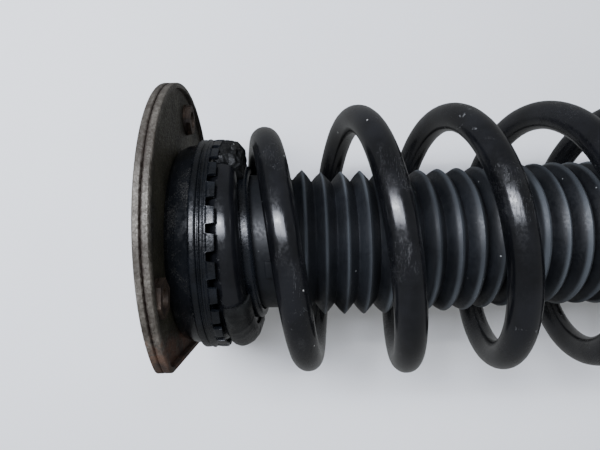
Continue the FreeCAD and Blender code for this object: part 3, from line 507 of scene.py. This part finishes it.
def end_stop():
    """Torn rubber block under the rim, past the wire's tip: a closed section turned about the axis,
    with lumps and sharp folds pushed into its outer and lower sides."""
    inner = HUB_LIP_R + 0.3
    top, shoulder, waist, foot = STOP_BLOCK_DEPTHS
    corners = [(inner, top), (RIM_IN_R, top), (RIM_OUT_R, shoulder), (RIM_OUT_R - 0.6, waist),
               (RIM_IN_R - 3, foot), (inner, foot)]
    section = to_height(closed_profile(np.array(corners), 0.55, 2))
    middle = section.mean(0)
    first, last = STOP_BLOCK_START + 0.4, STOP_BLOCK_END - 0.4
    turned = np.radians(np.linspace(first, last, BLOCK_RINGS))[:, None]
    swell = np.sqrt(np.clip(from_nearer_end(BLOCK_RINGS) / 3.0, 0.03, 1))[:, None, None]
    loop = middle + (section - middle)[None] * (0.55 + 0.45 * swell)
    rows = around_axis(loop[..., 0], turned, loop[..., 1])
    fold = np.abs(lumps(rows, 7.0, 41)) ** 1.5
    torn = np.abs(lumps(rows, 3.2, 42))
    depth = 1.5 * fold + 0.9 * torn
    way = unit(section - middle)
    push = around_axis(way[:, 0][None], turned, way[:, 1]) * depth[..., None]
    free = (section[:, 0] > inner + 1.0)[None, :, None]
    return skin("torn_end_stop", (rows - push * free) * MM, smooth=math.radians(60))


def end_sleeve():
    """C-shaped cover on the wire: a flat rounded section bent round the wire's outer and lower
    sides and carried along the end coil, a little uneven and swollen at both mouths."""
    turns = np.linspace(SLEEVE_START_TURN, SLEEVE_END_TURN, SLEEVE_RINGS)
    phase = full_turn(SLEEVE_COLUMNS)
    arc = np.radians(-40 + 60 * signed_power(np.cos(phase), 0.55))
    ends = from_nearer_end(SLEEVE_RINGS)
    close_in = np.sqrt(np.clip((ends + 0.4) / 2.5, 0, 1))
    half = (SLEEVE_T / 2 * close_in)[:, None] + (0.18 * bump_at(ends, 5, 2.2))[:, None]
    middle = WIRE_R + CONTACT_GAP + SLEEVE_T / 2 + 0.05
    radii = middle + half * signed_power(np.sin(phase), 0.7)[None]
    rows = tube_rows(turns, radii, arc)
    rough = 0.22 * np.abs(lumps(rows, 6.0, 51)) + 0.10 * lumps(rows, 2.5, 52)
    radii = radii + np.clip(np.sin(phase), 0, 1)[None] * rough - 0.02
    return skin("wire_sleeve", tube_rows(turns, radii, arc) * MM)


def boot_tab():
    """Small moulded tab on the boot's neck: a rounded block laid on the neck's curve."""
    across = np.linspace(-1, 1, 22)
    ring = full_turn(28)
    size = ((1 - np.abs(across) ** 8) ** (1 / 8))[:, None]
    angle = math.radians(TAB_ANGLE) + across * TAB_WIDTH / 2 / BOOT_NECK_R
    middle, sunk = PLATE_TOP - TAB_DEPTH - TAB_HEIGHT / 2, 0.3
    tall = middle + signed_power(np.sin(ring), 0.4)[None] * size * TAB_HEIGHT / 2
    raised = (signed_power(np.cos(ring), 0.5)[None] * size + 1) / 2 * (TAB_PROUD + sunk)
    rows = around_axis(BOOT_NECK_R - sunk + raised, angle[:, None], tall)
    return skin("boot_neck_tab", rows * MM)


def bump_stop():
    """Foam stop spun from a profile with two waists and rounded bulges between them."""
    share = np.linspace(0, 1, 60)
    waist = 3.0 * bump_at(share, 0.34, 0.06) + 3.0 * bump_at(share, 0.67, 0.06)
    radius = BUMP_R - 3.2 * share - waist - 5.0 * np.clip((share - 0.86) / 0.14, 0, 1) ** 2
    outside = np.stack([radius, BUMP_TOP_Z - BUMP_LENGTH * share], 1)
    bore_r, foot = ROD_R + 0.3, BUMP_TOP_Z - BUMP_LENGTH
    bore = resample([(bore_r, foot + 0.6), (bore_r, BUMP_TOP_Z - 0.6)], 3.0)
    loop = smoothed(np.vstack([resample(outside, 0.9), bore]), 1)
    return spun("foam_stop", loop, columns=72)


def mount_bush():
    """Bonded rubber of the top mount: a spun profile whose upper face dips between two beads."""
    inner, outer = MOUNT_SLEEVE_R + 0.02, MOUNT_BUSH_R - 0.02
    radius = np.linspace(inner, outer, 26)
    share = (radius - inner) / (outer - inner)
    dip, bead = np.sin(math.pi * share) ** 2, np.sin(3 * math.pi * share) ** 2
    upper = np.stack([radius, MOUNT_BUSH_TOP + 0.1 + 2.6 * dip - 0.5 * bead * share], 1)
    lower = np.array([(outer, MOUNT_BUSH_END - 0.1), (inner, MOUNT_BUSH_END - 0.1)])
    loop = to_height(np.vstack([upper, resample(lower, 2.0)]))
    return spun("mount_rubber", loop, columns=96)


def eye_bush():
    """Bonded rubber of the lower eye: spun about the bolt, both faces dipping in a rounded groove
    between the inner and outer sleeves."""
    radius = np.linspace(EYE_SLEEVE_R + 0.02, EYE_BUSH_R - 0.02, 24)
    share = (radius - radius[0]) / (radius[-1] - radius[0])
    groove = 2.4 * np.sin(math.pi * share) ** 1.5
    face = EYE_BUSH_HALF - 0.1 - groove + 0.5 * np.cos(math.pi * share * 2) * share
    face = np.minimum(face, EYE_BUSH_HALF - 0.05)
    loop = np.vstack([np.stack([radius, face], 1), np.stack([radius[::-1], -face[::-1]], 1)])

    def laid_over(rows, _):
        """Swaps Y and Z, which turns the spun shape onto the bolt's line."""
        return rows[..., [0, 2, 1]]

    return spun("eye_rubber", loop, columns=72, shift=laid_over)


def weld_bead(name, line, half=1.9):
    """Fillet weld along a closed line of points: a round section whose size and lean ripple as each
    drop of metal overlaps the last."""
    count = len(line)
    run = unit(np.roll(line, -1, 0) - np.roll(line, 1, 0))
    out = square_to(line * [1, 1, 0], run)
    length = np.linalg.norm(np.roll(line, -1, 0) - line, axis=1).sum()
    along = np.arange(count) / count
    drops = round(length / WELD_DROP)
    saw = (along * drops) % 1.0
    size = half * (0.90 + 0.14 * np.sin(math.pi * saw) + 0.05 * np.sin(2 * math.pi * along * 7))
    way = spokes(out, np.cross(out, run), full_turn(14))
    lean = run * (0.5 * (saw - 0.5) ** 2)[:, None]
    return skin(name, (line[:, None] + lean[:, None] + way * size[:, None, None]) * MM, along=True)


def ring_line(radius, height):
    """Level circle about the strut's axis."""
    return around_axis(radius, full_turn(420), height)


def saddle_line(half_x, half_y):
    """Oval round the strut's foot, dropped onto the eye's curve: height is the circle's height at
    that distance from the bolt's line."""
    angle = full_turn(360)
    x, y = half_x * np.cos(angle), half_y * np.sin(angle)
    return np.stack([x, y, np.sqrt(EYE_R ** 2 - x ** 2)], 1)


# ---- shader helpers ----
class Shade:
    """A node tree with short ways to add nodes and join them."""

    def __init__(self, tree):
        self.tree = tree

    def fill(self, made, inputs):
        """Sets a node's inputs, by name or number, to numbers or colours, or links sockets."""
        for key, value in inputs.items():
            if isinstance(value, bpy.types.NodeSocket):
                self.tree.links.new(value, made.inputs[key])
            else:
                made.inputs[key].default_value = value
        return made

    def node(self, kind, inputs=None, **settings):
        """Adds a shader node with its settings and inputs."""
        made = self.tree.nodes.new("ShaderNode" + kind)
        for key, value in settings.items():
            setattr(made, key, value)
        return self.fill(made, inputs or {})

    def maths(self, operation, first, second=0.0, clamp=False):
        made = self.node("Math", {0: first, 1: second}, operation=operation, use_clamp=clamp)
        return made.outputs[0]

    def times(self, first, second):
        return self.maths("MULTIPLY", first, second)

    def plus(self, first, second, clamp=False):
        return self.maths("ADD", first, second, clamp)

    def minus(self, first, second):
        return self.maths("SUBTRACT", first, second)

    def larger(self, first, second):
        return self.maths("MAXIMUM", first, second)

    def near_half(self, value, low, high):
        """Thin lines: 1 where a noise is nearer than high to its middle value, 0 beyond low."""
        return self.between(self.maths("ABSOLUTE", self.minus(value, 0.5)), low, high)

    def reach(self, at):
        """Distance from the Z axis."""
        level = self.node("VectorMath", {0: at, 1: (1.0, 1.0, 0.0)}, operation="MULTIPLY")
        made = self.node("VectorMath", {0: level.outputs[0]}, operation="LENGTH")
        return made.outputs["Value"]

    def between(self, value, low, high, start=0.0, end=1.0):
        """Smoothly turns low..high of a value into start..end."""
        ends = {"Value": value, "From Min": low, "From Max": high, "To Min": start, "To Max": end}
        return self.node("MapRange", ends, interpolation_type="SMOOTHSTEP").outputs["Result"]

    def mixed(self, share, first, second):
        """The first colour where share is 0 and the second where it is 1."""
        return self.node("Mix", {0: share, 6: first, 7: second}, data_type="RGBA").outputs[2]

    def noise(self, at, scale, detail=3.0, rough=0.55, bend=0.0):
        inputs = {"Vector": at, "Scale": scale, "Detail": detail, "Roughness": rough,
                  "Distortion": bend}
        return self.node("TexNoise", inputs).outputs["Fac"]

    def group(self, tree, inputs):
        """Places a shared effect and returns its outputs by name."""
        return self.node("Group", inputs, node_tree=tree).outputs

    def surface(self, look, height, relief):
        """Ends a material: its look, with a bump of relief millimetres where height is 1."""
        look["Normal"] = self.node("Bump", {"Distance": relief * MM, "Height": height}).outputs[0]
        self.end(self.node("BsdfPrincipled", look))

    def end(self, shader):
        """Ends a material with a shader node."""
        self.node("OutputMaterial", {"Surface": shader.outputs[0]})


def effect(name, inputs, outputs, build):
    """A shared effect: a node group with named inputs and outputs. build(shade, entry) gets the
    inputs' sockets and returns the sockets that the outputs take, by name."""
    tree = bpy.data.node_groups.new(name, "ShaderNodeTree")
    for label, kind, start in inputs:
        socket = tree.interface.new_socket(label, in_out="INPUT", socket_type="NodeSocket" + kind)
        if start is not None:
            socket.default_value = start
    for label, kind in outputs:
        tree.interface.new_socket(label, in_out="OUTPUT", socket_type="NodeSocket" + kind)
    shade = Shade(tree)
    entry = tree.nodes.new("NodeGroupInput").outputs
    leave = tree.nodes.new("NodeGroupOutput").inputs
    for label, socket in build(shade, entry).items():
        tree.links.new(socket, leave[label])
    return tree


def build_grain(shade, entry):
    """Broad cloudiness, fine cloudiness and a height made of both."""
    broad = shade.noise(entry["Vector"], entry["Scale"], 4.0, 0.6)
    fine_scale = shade.times(entry["Scale"], 14.0)
    fine = shade.noise(entry["Vector"], fine_scale, 3.0, 0.6)
    height = shade.plus(shade.times(broad, 0.45), shade.times(fine, 0.55))
    return {"Broad": shade.between(broad, 0.34, 0.66), "Fine": shade.between(fine, 0.3, 0.7),
            "Height": height}


def build_dust(shade, entry):
    """A film where two noises are both high, and small pale specks in a few cells."""
    cloud = shade.noise(entry["Vector"], entry["Scale"], 5.0, 0.68, 0.4)
    grit = shade.noise(entry["Vector"], 1900.0, 2.0, 0.7)
    low = shade.minus(0.86, shade.times(entry["Amount"], 0.5))
    both = shade.plus(shade.times(cloud, 0.75), shade.times(grit, 0.35))
    film = shade.between(both, low, shade.plus(low, 0.22))
    cells = shade.node("TexVoronoi", {"Vector": entry["Vector"], "Scale": 210.0})
    near = shade.between(cells.outputs["Distance"], 0.10, 0.04)
    pick = shade.node("SeparateColor", {0: cells.outputs["Color"]}).outputs[0]
    chosen = shade.maths("LESS_THAN", pick, shade.times(entry["Amount"], 0.22))
    return {"Film": film, "Specks": shade.times(near, chosen)}


def build_scratches(shade, entry):
    """Thin lines in two slanting directions, where a stretched noise crosses its middle value."""
    lines = None
    for turn, factors in ((0.5, (90, 90, 900)), (-0.9, (140, 1100, 160))):
        slant = {"Vector": entry["Vector"], "Rotation": (turn, turn * 0.6, turn)}
        turned = shade.node("Mapping", slant).outputs[0]
        stretched = shade.node("Mapping", {"Vector": turned, "Scale": factors}).outputs[0]
        line = shade.near_half(shade.noise(stretched, 1.0, 1.0, 0.4), 0.012, 0.002)
        lines = line if lines is None else shade.larger(lines, line)
    patch = shade.between(shade.noise(entry["Vector"], 45.0, 3.0, 0.6), 0.66, 0.78)
    share = shade.times(shade.times(lines, patch), entry["Amount"])
    return {"Mask": share}


def build_rust(shade, entry):
    """Rust in clouds with a pitted edge: orange-brown thin rust over dark scale."""
    cloud = shade.noise(entry["Vector"], 38.0, 6.0, 0.68, 0.5)
    pits = shade.noise(entry["Vector"], 520.0, 3.0, 0.65)
    low = shade.minus(0.88, shade.times(entry["Amount"], 0.55))
    total = shade.plus(shade.times(cloud, 0.72), shade.times(pits, 0.32))
    mask = shade.between(total, low, shade.plus(low, 0.14))
    tone = shade.between(shade.noise(entry["Vector"], 150.0, 4.0, 0.7), 0.3, 0.7)
    colour = shade.mixed(tone, (0.016, 0.009, 0.006, 1), (0.095, 0.040, 0.018, 1))
    return {"Mask": mask, "Color": colour, "Height": pits}


GRAIN = effect("surface grain", [("Vector", "Vector", None), ("Scale", "Float", 60.0)],
               [("Broad", "Float"), ("Fine", "Float"), ("Height", "Float")], build_grain)
DUST = effect("dust",
              [("Vector", "Vector", None), ("Amount", "Float", 0.5), ("Scale", "Float", 30.0)],
              [("Film", "Float"), ("Specks", "Float")], build_dust)
SCRATCHES = effect("scratches", [("Vector", "Vector", None), ("Amount", "Float", 0.5)],
                   [("Mask", "Float")], build_scratches)
RUST = effect("rust", [("Vector", "Vector", None), ("Amount", "Float", 0.5)],
              [("Mask", "Float"), ("Color", "Color"), ("Height", "Float")], build_rust)


def blank(name):
    """A new material without nodes, and its node tree."""
    material = bpy.data.materials.new(name)
    material.use_nodes = True
    material.node_tree.nodes.clear()
    return material, Shade(material.node_tree)


def finish_of(name, dark, light, rough, scale, relief, metal=0.0, dust=0.0, scratches=0.0,
              rust=0.0, specular=0.5):
    """Material with clouded colour between dark and light, roughness between two values, relief in
    millimetres, and dust, scratches and rust over it."""
    material, shade = blank(name)
    at = shade.node("TexCoord").outputs["Object"]
    grain = shade.group(GRAIN, {"Vector": at, "Scale": scale})
    colour = shade.mixed(grain["Broad"], (*dark, 1), (*light, 1))
    roughness = shade.between(grain["Fine"], 0.0, 1.0, *rough)
    height = grain["Height"]
    metallic = metal
    if scratches:
        lines = shade.group(SCRATCHES, {"Vector": at, "Amount": scratches})["Mask"]
        colour = shade.mixed(lines, colour, (*[min(c * 3 + 0.09, 1) for c in light], 1))
        height = shade.minus(height, shade.times(lines, 0.6))
    if rust:
        red = shade.group(RUST, {"Vector": at, "Amount": rust})
        colour = shade.mixed(red["Mask"], colour, red["Color"])
        roughness = shade.larger(roughness, shade.times(red["Mask"], 0.85))
        height = shade.plus(height, shade.times(red["Mask"], red["Height"]))
        if metal:
            metallic = shade.times(shade.minus(1.0, red["Mask"]), metal)
    if dust:
        film = shade.group(DUST, {"Vector": at, "Amount": dust, "Scale": 30.0})
        veil = shade.times(film["Film"], 0.45)
        colour = shade.mixed(veil, colour, (0.20, 0.19, 0.17, 1))
        colour = shade.mixed(film["Specks"], colour, (0.46, 0.46, 0.44, 1))
        roughness = shade.plus(roughness, shade.times(veil, 0.5), clamp=True)
    shade.surface({"Base Color": colour, "Roughness": roughness, "Metallic": metallic,
                   "Specular IOR Level": specular}, height, relief)
    return material


def flange_finish():
    """Bare steel plates: pale and scuffed on their outer edges, stained and rusty on their faces,
    with more rust towards the flat side."""
    material, shade = blank("worn plate steel")
    where = shade.node("TexCoord")
    at = where.outputs["Object"]
    grain = shade.group(GRAIN, {"Vector": at, "Scale": 75.0})
    place = shade.node("SeparateXYZ", {0: at}).outputs
    facing = shade.node("SeparateXYZ", {0: where.outputs["Normal"]}).outputs
    edge = shade.between(shade.maths("ABSOLUTE", facing[2]), 0.75, 0.35)
    from_middle = shade.node("VectorMath", {0: at, 1: FLANGE_MIDDLE}, operation="SUBTRACT")
    rim = shade.between(shade.reach(from_middle.outputs[0]), *FLANGE_RIM_REACH)
    bare = shade.larger(edge, shade.times(rim, 0.75))
    stain = shade.between(shade.noise(at, 55.0, 8.0, 0.7, 0.3), 0.28, 0.72)
    face = shade.mixed(stain, (0.014, 0.0128, 0.0085, 1), (0.060, 0.056, 0.037, 1))
    worn = shade.mixed(grain["Broad"], (0.058, 0.052, 0.042, 1), (0.165, 0.152, 0.129, 1))
    patches = shade.between(shade.noise(at, 34.0, 4.0, 0.65), 0.46, 0.62, 0.0, 0.7)
    worn = shade.mixed(patches, worn, (0.042, 0.036, 0.029, 1))
    fine = shade.between(shade.noise(at, 900.0, 3.0, 0.7), 0.35, 0.7)
    worn = shade.mixed(shade.times(fine, 0.6), worn, (0.030, 0.022, 0.016, 1))
    colour = shade.mixed(bare, face, worn)
    off_seam = shade.maths("ABSOLUTE", shade.minus(place[2], PLATE_SEAM_Z))
    seam = shade.times(shade.between(off_seam, 0.0011, 0.0003),
                       shade.between(fine, 0.0, 1.0, 0.6, 1.0))
    colour = shade.mixed(seam, colour, (0.016, 0.009, 0.006, 1))
    near_flat = shade.between(place[0], *FLANGE_FLAT_X)
    amount = shade.between(near_flat, 0.0, 1.0, 0.42, 0.85)
    rust = shade.group(RUST, {"Vector": at, "Amount": amount})
    spread = shade.times(rust["Mask"], shade.between(bare, 0.0, 1.0, 0.95, 0.7))
    colour = shade.mixed(spread, colour, rust["Color"])
    film = shade.group(DUST, {"Vector": at, "Amount": 0.55, "Scale": 26.0})
    colour = shade.mixed(shade.times(film["Film"], 0.3), colour, (0.13, 0.115, 0.088, 1))
    roughness = shade.plus(shade.between(grain["Fine"], 0.0, 1.0, 0.42, 0.66),
                            shade.times(spread, 0.25), clamp=True)
    metallic = shade.times(shade.minus(1.0, spread), 0.35)
    pits = shade.between(shade.noise(at, 420.0, 4.0, 0.7), 0.42, 0.62)
    height = shade.plus(shade.times(grain["Height"], 0.6), shade.times(pits, 0.5))
    look = {"Base Color": colour, "Roughness": roughness, "Metallic": metallic}
    shade.surface(look, height, 0.28)
    return material


def spring_finish():
    """Glossy black coat over the wire: soft runs along it, fine pits, grey stone chips and scuffs
    where stones reach it."""
    material, shade = blank("spring coat")
    at = shade.node("TexCoord").outputs["Object"]
    grain = shade.group(GRAIN, {"Vector": at, "Scale": 48.0})
    lines = shade.group(SCRATCHES, {"Vector": at, "Amount": 0.55})["Mask"]
    chips = shade.noise(at, 260.0, 5.0, 0.72, 0.6)
    patch = shade.noise(at, 16.0, 3.0, 0.6)
    low = shade.minus(0.98, shade.times(patch, 0.52))
    chip = shade.between(chips, low, shade.plus(low, 0.05))
    colour = shade.mixed(grain["Broad"], (0.0025, 0.0027, 0.0034, 1), (0.007, 0.0074, 0.009, 1))
    colour = shade.mixed(shade.times(chip, 0.8), colour, (0.115, 0.118, 0.12, 1))
    colour = shade.mixed(lines, colour, (0.16, 0.17, 0.18, 1))
    film = shade.group(DUST, {"Vector": at, "Amount": 0.45, "Scale": 22.0})
    veil = shade.times(film["Film"], 0.22)
    colour = shade.mixed(veil, colour, (0.13, 0.13, 0.125, 1))
    colour = shade.mixed(film["Specks"], colour, (0.5, 0.5, 0.48, 1))
    rough = shade.between(grain["Fine"], 0.0, 1.0, 0.17, 0.27)
    rough = shade.plus(rough, shade.times(shade.larger(chip, veil), 0.4), clamp=True)
    place = shade.node("SeparateXYZ", {0: at}).outputs
    turned = shade.maths("ARCTAN2", place[1], place[0])
    climbed = shade.plus(place[2], shade.times(turned, FULL_PITCH * MM / (2 * math.pi)))
    along = {0: shade.times(turned, 0.006), 1: shade.reach(at), 2: climbed}
    streaks = shade.noise(shade.node("CombineXYZ", along).outputs[0], 900.0, 3.0, 0.7)
    fine_lines = shade.near_half(streaks, 0.02, 0.004)
    worn = shade.between(shade.noise(at, 38.0, 3.0, 0.6), 0.48, 0.64)
    fine_lines = shade.times(fine_lines, worn)
    rough = shade.plus(rough, shade.times(fine_lines, 0.10), clamp=True)
    runs = shade.noise(at, 120.0, 2.0, 0.5)
    height = shade.plus(shade.times(grain["Height"], 0.25), shade.times(runs, 0.4))
    height = shade.plus(height, shade.times(streaks, 0.25))
    height = shade.minus(height, shade.times(shade.larger(chip, fine_lines), 0.5))
    shade.surface({"Base Color": colour, "Roughness": rough, "Coat Weight": 0.2,
                   "Coat Roughness": 0.10, "Specular IOR Level": 0.4}, height, 0.11)
    return material


def boot_finish():
    """Matte black rubber, with a painted highlight of bluish grey in patches along the crests, and
    greyer in patches of bloom.
    """
    material, shade = blank("boot rubber")
    at = shade.node("TexCoord").outputs["Object"]
    grain = shade.group(GRAIN, {"Vector": at, "Scale": 55.0})
    crest = shade.node("Attribute", attribute_name="crest").outputs["Fac"]
    colour = shade.mixed(grain["Broad"], (0.0038, 0.0045, 0.0058, 1), (0.0090, 0.0104, 0.0128, 1))
    # Painted highlight: the pleats' crests are painted bluish grey, in patches.
    highlight_patches = shade.between(shade.noise(at, 22.0, 2.0, 0.5), 0.35, 0.62, 0.3, 0.95)
    crest_highlight = shade.times(crest, highlight_patches)
    colour = shade.mixed(crest_highlight, colour, (0.066, 0.075, 0.084, 1))
    film = shade.group(DUST, {"Vector": at, "Amount": 0.5, "Scale": 34.0})
    veil = shade.times(film["Film"], 0.25)
    colour = shade.mixed(veil, colour, (0.055, 0.060, 0.066, 1))
    colour = shade.mixed(film["Specks"], colour, (0.33, 0.34, 0.34, 1))
    lines = shade.group(SCRATCHES, {"Vector": at, "Amount": 0.35})["Mask"]
    colour = shade.mixed(lines, colour, (0.12, 0.125, 0.13, 1))
    rough = shade.plus(shade.between(grain["Fine"], 0.0, 1.0, 0.40, 0.54),
                        shade.times(veil, 0.5), clamp=True)
    shade.surface({"Base Color": colour, "Roughness": rough, "Specular IOR Level": 0.35},
                  grain["Height"], 0.06)
    return material


FINISHES = {
    "flange_steel": flange_finish(),
    "spring_coat": spring_finish(),
    "boot_rubber": boot_finish(),
    "nut_steel": finish_of("rusty nuts", (0.020, 0.014, 0.010), (0.066, 0.044, 0.030), (0.5, 0.8),
                           scale=120.0, relief=0.3, metal=0.3, rust=0.5, dust=0.2),
    "seat_paint": finish_of("seat paint", (0.003, 0.0035, 0.0045), (0.009, 0.0105, 0.013),
                            (0.14, 0.26),
                            scale=30.0, relief=0.035, dust=0.6, scratches=0.5, rust=0.05),
    "pad_rubber": finish_of("pad rubber", (0.0028, 0.0034, 0.0045), (0.0078, 0.0094, 0.0125),
                            (0.20, 0.34),
                            scale=70.0, relief=0.10, dust=0.4, scratches=0.6, specular=0.42),
    "block_rubber": finish_of("torn rubber", (0.0022, 0.0026, 0.003), (0.0075, 0.008, 0.008),
                              (0.28, 0.50),
                              scale=160.0, relief=0.5, dust=0.35, specular=0.35),
    "sleeve_rubber": finish_of("sleeve rubber", (0.004, 0.0042, 0.0044), (0.015, 0.0158, 0.0155),
                               (0.26, 0.44),
                               scale=110.0, relief=0.22, dust=0.4, scratches=0.5, specular=0.4),
    "bush_rubber": finish_of("bush rubber", (0.010, 0.010, 0.011), (0.026, 0.026, 0.028),
                             (0.45, 0.65),
                             scale=90.0, relief=0.10, dust=0.6),
    "seal_rubber": finish_of("seal rubber", (0.030, 0.018, 0.014), (0.050, 0.030, 0.024),
                             (0.35, 0.5),
                             scale=90.0, relief=0.05),
    "stop_foam": finish_of("stop foam", (0.42, 0.34, 0.20), (0.58, 0.49, 0.32), (0.75, 0.9),
                           scale=140.0, relief=0.30, dust=0.3),
    "tube_paint": finish_of("tube paint", (0.006, 0.0065, 0.0075), (0.015, 0.016, 0.0175),
                            (0.28, 0.42),
                            scale=40.0, relief=0.10, dust=0.4, scratches=0.7, rust=0.22,
                            specular=0.4),
    "tube_steel": finish_of("drawn steel", (0.22, 0.22, 0.22), (0.40, 0.40, 0.39), (0.28, 0.42),
                            scale=60.0, relief=0.05, metal=0.9, rust=0.1),
    "zinc_steel": finish_of("zinc plate", (0.34, 0.33, 0.29), (0.56, 0.54, 0.48), (0.34, 0.52),
                            scale=80.0, relief=0.06, metal=0.85, dust=0.4, scratches=0.5, rust=0.3),
    "rod_chrome": finish_of("chromed rod", (0.62, 0.63, 0.65), (0.74, 0.75, 0.77), (0.06, 0.12),
                            scale=60.0, relief=0.01, metal=1.0, scratches=0.2),
    "sintered_iron": finish_of("sintered iron", (0.10, 0.10, 0.10), (0.22, 0.215, 0.21), (0.5, 0.7),
                               scale=220.0, relief=0.10, metal=0.7),
    "bush_bronze": finish_of("bush bronze", (0.36, 0.25, 0.11), (0.56, 0.42, 0.20), (0.3, 0.45),
                             scale=90.0, relief=0.04, metal=0.95),
    "band_ptfe": finish_of("piston band", (0.13, 0.08, 0.05), (0.24, 0.15, 0.09), (0.4, 0.55),
                           scale=120.0, relief=0.04),
    "shim_steel": finish_of("ground steel", (0.38, 0.38, 0.40), (0.55, 0.55, 0.57), (0.2, 0.32),
                            scale=80.0, relief=0.02, metal=1.0),
}


def dress(piece, slot_name):
    """Gives a piece its finish in every material slot."""
    piece.data.materials.clear()
    piece.data.materials.append(FINISHES[slot_name])


def put(piece, body, slot_name, nodes=(), keep=None):
    """Rides a piece on its body, gives it its finish, and hides the CAD nodes it stands for. A
    piece with keep gets a mesh of its own."""
    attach(piece, body)
    if nodes:
        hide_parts(*nodes)
    dress(piece, slot_name)
    if keep is not None:
        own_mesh(piece)
    return piece


# ---- finishes on the CAD nodes, and the finished pieces in their places ----
for part_row in frame["record"]["subparts"]:
    dress(frame["nodes"][part_row["node"]], part_row["material_slot"])

put(coil_spring(), "top_mount", "spring_coat", ["coil_spring"],
    keep=SPRING_KEEP)
put(dust_boot(), "top_mount", "boot_rubber", ["dust_boot"],
    keep=BOOT_KEEP)
put(boot_tab(), "top_mount", "boot_rubber", keep=BOOT_KEEP)
put(bump_stop(), "top_mount", "stop_foam", ["bump_stop"],
    keep=STOP_KEEP)
put(pad_ring(), "top_mount", "pad_rubber", ["upper_spring_pad"])
put(pad_ramp(), "top_mount", "pad_rubber")
put(pad_lip(), "top_mount", "pad_rubber")
put(end_stop(), "top_mount", "block_rubber", ["spring_end_stop"])
put(end_sleeve(), "top_mount", "sleeve_rubber", ["spring_sleeve"])
put(mount_bush(), "top_mount", "bush_rubber", ["mount_bush"])
put(eye_bush(), "damper", "bush_rubber", ["eye_bush_rubber"])
pan_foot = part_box("lower_spring_pan")[0][2] / MM
collar_top = ring_line(TUBE_R + 0.6, pan_foot + PAN_COLLAR + 0.8)
put(weld_bead("pan_weld_upper", collar_top), "damper", "tube_paint")
put(weld_bead("pan_weld_lower", ring_line(TUBE_R + 0.9, pan_foot)), "damper", "tube_paint")
put(weld_bead("eye_weld", saddle_line(13.8, 14.0), half=2.3), "damper", "tube_paint")


# ---- camera, floor and lights ----
def add_camera():
    """Looks square at the strut's upper half, with the strut's foot to the right."""
    data = bpy.data.cameras.new("camera")
    data.sensor_width = CAMERA_SENSOR
    data.lens = CAMERA_LENS
    data.clip_start = 0.01
    camera = bpy.data.objects.new("camera", data)
    about = [Matrix.Rotation(angle, 3, axis) for axis, angle in CAMERA_TURNS.items()]
    turn = about[0] @ about[1] @ about[2]
    to_part = Matrix(((0, 1, 0), (0, 0, -1), (-1, 0, 0)))
    turned = (to_part @ turn.transposed()).to_4x4()
    camera.matrix_world = Matrix.Translation(CAMERA_PLACE) @ turned
    bpy.context.scene.collection.objects.link(camera)
    bpy.context.scene.camera = camera


def add_light(name, place, target, size, power, colour=(1, 1, 1), mirrored=True):
    """Soft rectangular light at a place, facing a target. One that isn't mirrored lights the
    surfaces but leaves no patch of its own shape in their gloss."""
    data = bpy.data.lights.new(name, "AREA")
    data.shape = "RECTANGLE"
    data.size, data.size_y = size
    data.energy = power
    data.color = colour
    light = bpy.data.objects.new(name, data)
    aim = Vector(target) - Vector(place)
    light.visible_glossy = mirrored
    facing = aim.to_track_quat("-Z", "Y").to_matrix().to_4x4()
    light.matrix_world = Matrix.Translation(place) @ facing
    bpy.context.scene.collection.objects.link(light)


def add_floor():
    """Pale sheet that the strut lies on, seen from its front side only, so that it never hides the
    strut from behind."""
    share = np.linspace(-1, 1, 9)
    x, z = np.meshgrid(share * FLOOR_HALF, share * FLOOR_HALF, indexing="ij")
    rows = np.stack([x, np.full_like(x, FLOOR_Y), z], -1)
    count = len(share)
    index = np.arange(count * count).reshape(count, count)
    quads = np.stack([index[:-1, :-1], index[1:, :-1], index[1:, 1:], index[:-1, 1:]], -1)
    mesh = bpy.data.meshes.new("floor")
    mesh.from_pydata(rows.reshape(-1, 3).tolist(), [], quads.reshape(-1, 4).tolist())
    floor = bpy.data.objects.new("floor", mesh)
    floor.visible_glossy = False
    bpy.context.scene.collection.objects.link(floor)
    material, shade = blank("pale sheet")
    at = shade.node("TexCoord").outputs["Object"]
    cloud = shade.noise(at, 9.0, 3.0, 0.5)
    colour = shade.mixed(cloud, (0.82, 0.83, 0.84, 1), (0.88, 0.89, 0.90, 1))
    matt = {"Base Color": colour, "Roughness": 0.7, "Specular IOR Level": 0.2}
    paper = shade.node("BsdfPrincipled", matt)
    clear = shade.node("BsdfTransparent")
    behind = shade.node("NewGeometry").outputs["Backfacing"]
    shadow = shade.node("LightPath").outputs["Is Shadow Ray"]
    away = shade.larger(behind, shadow)
    shade.end(shade.node("MixShader", {0: away, 1: paper.outputs[0], 2: clear.outputs[0]}))
    mesh.materials.append(material)


add_camera()
add_floor()
add_light("window", (0.24, -0.74, 0.66), (0.0, 0.0, 0.38), (0.28, 1.0), 14.0, (0.84, 0.88, 1.0))
add_light("streak", (0.22, -0.62, 0.74), (0.0, 0.0, 0.38), (0.03, 0.55), 3.0, (0.92, 0.95, 1.0))
add_light("low_fill", (-0.60, -0.70, 0.15), (0.0, 0.0, 0.30), (1.3, 1.3), 2.6, mirrored=False)
add_light("behind", (0.3, 0.95, 0.55), (0.0, 0.0, 0.25), (0.9, 0.9), 16.0, mirrored=False)

world = bpy.data.worlds.new("studio")
bpy.context.scene.world = world
world.use_nodes = True
sky = Shade(world.node_tree)
seen = sky.node("LightPath").outputs["Is Camera Ray"]
backdrop = world.node_tree.nodes["Background"].inputs
backdrop["Color"].default_value = (0.82, 0.84, 0.86, 1)
world.node_tree.links.new(sky.between(seen, 0.0, 1.0, 0.3, 0.75), backdrop["Strength"])
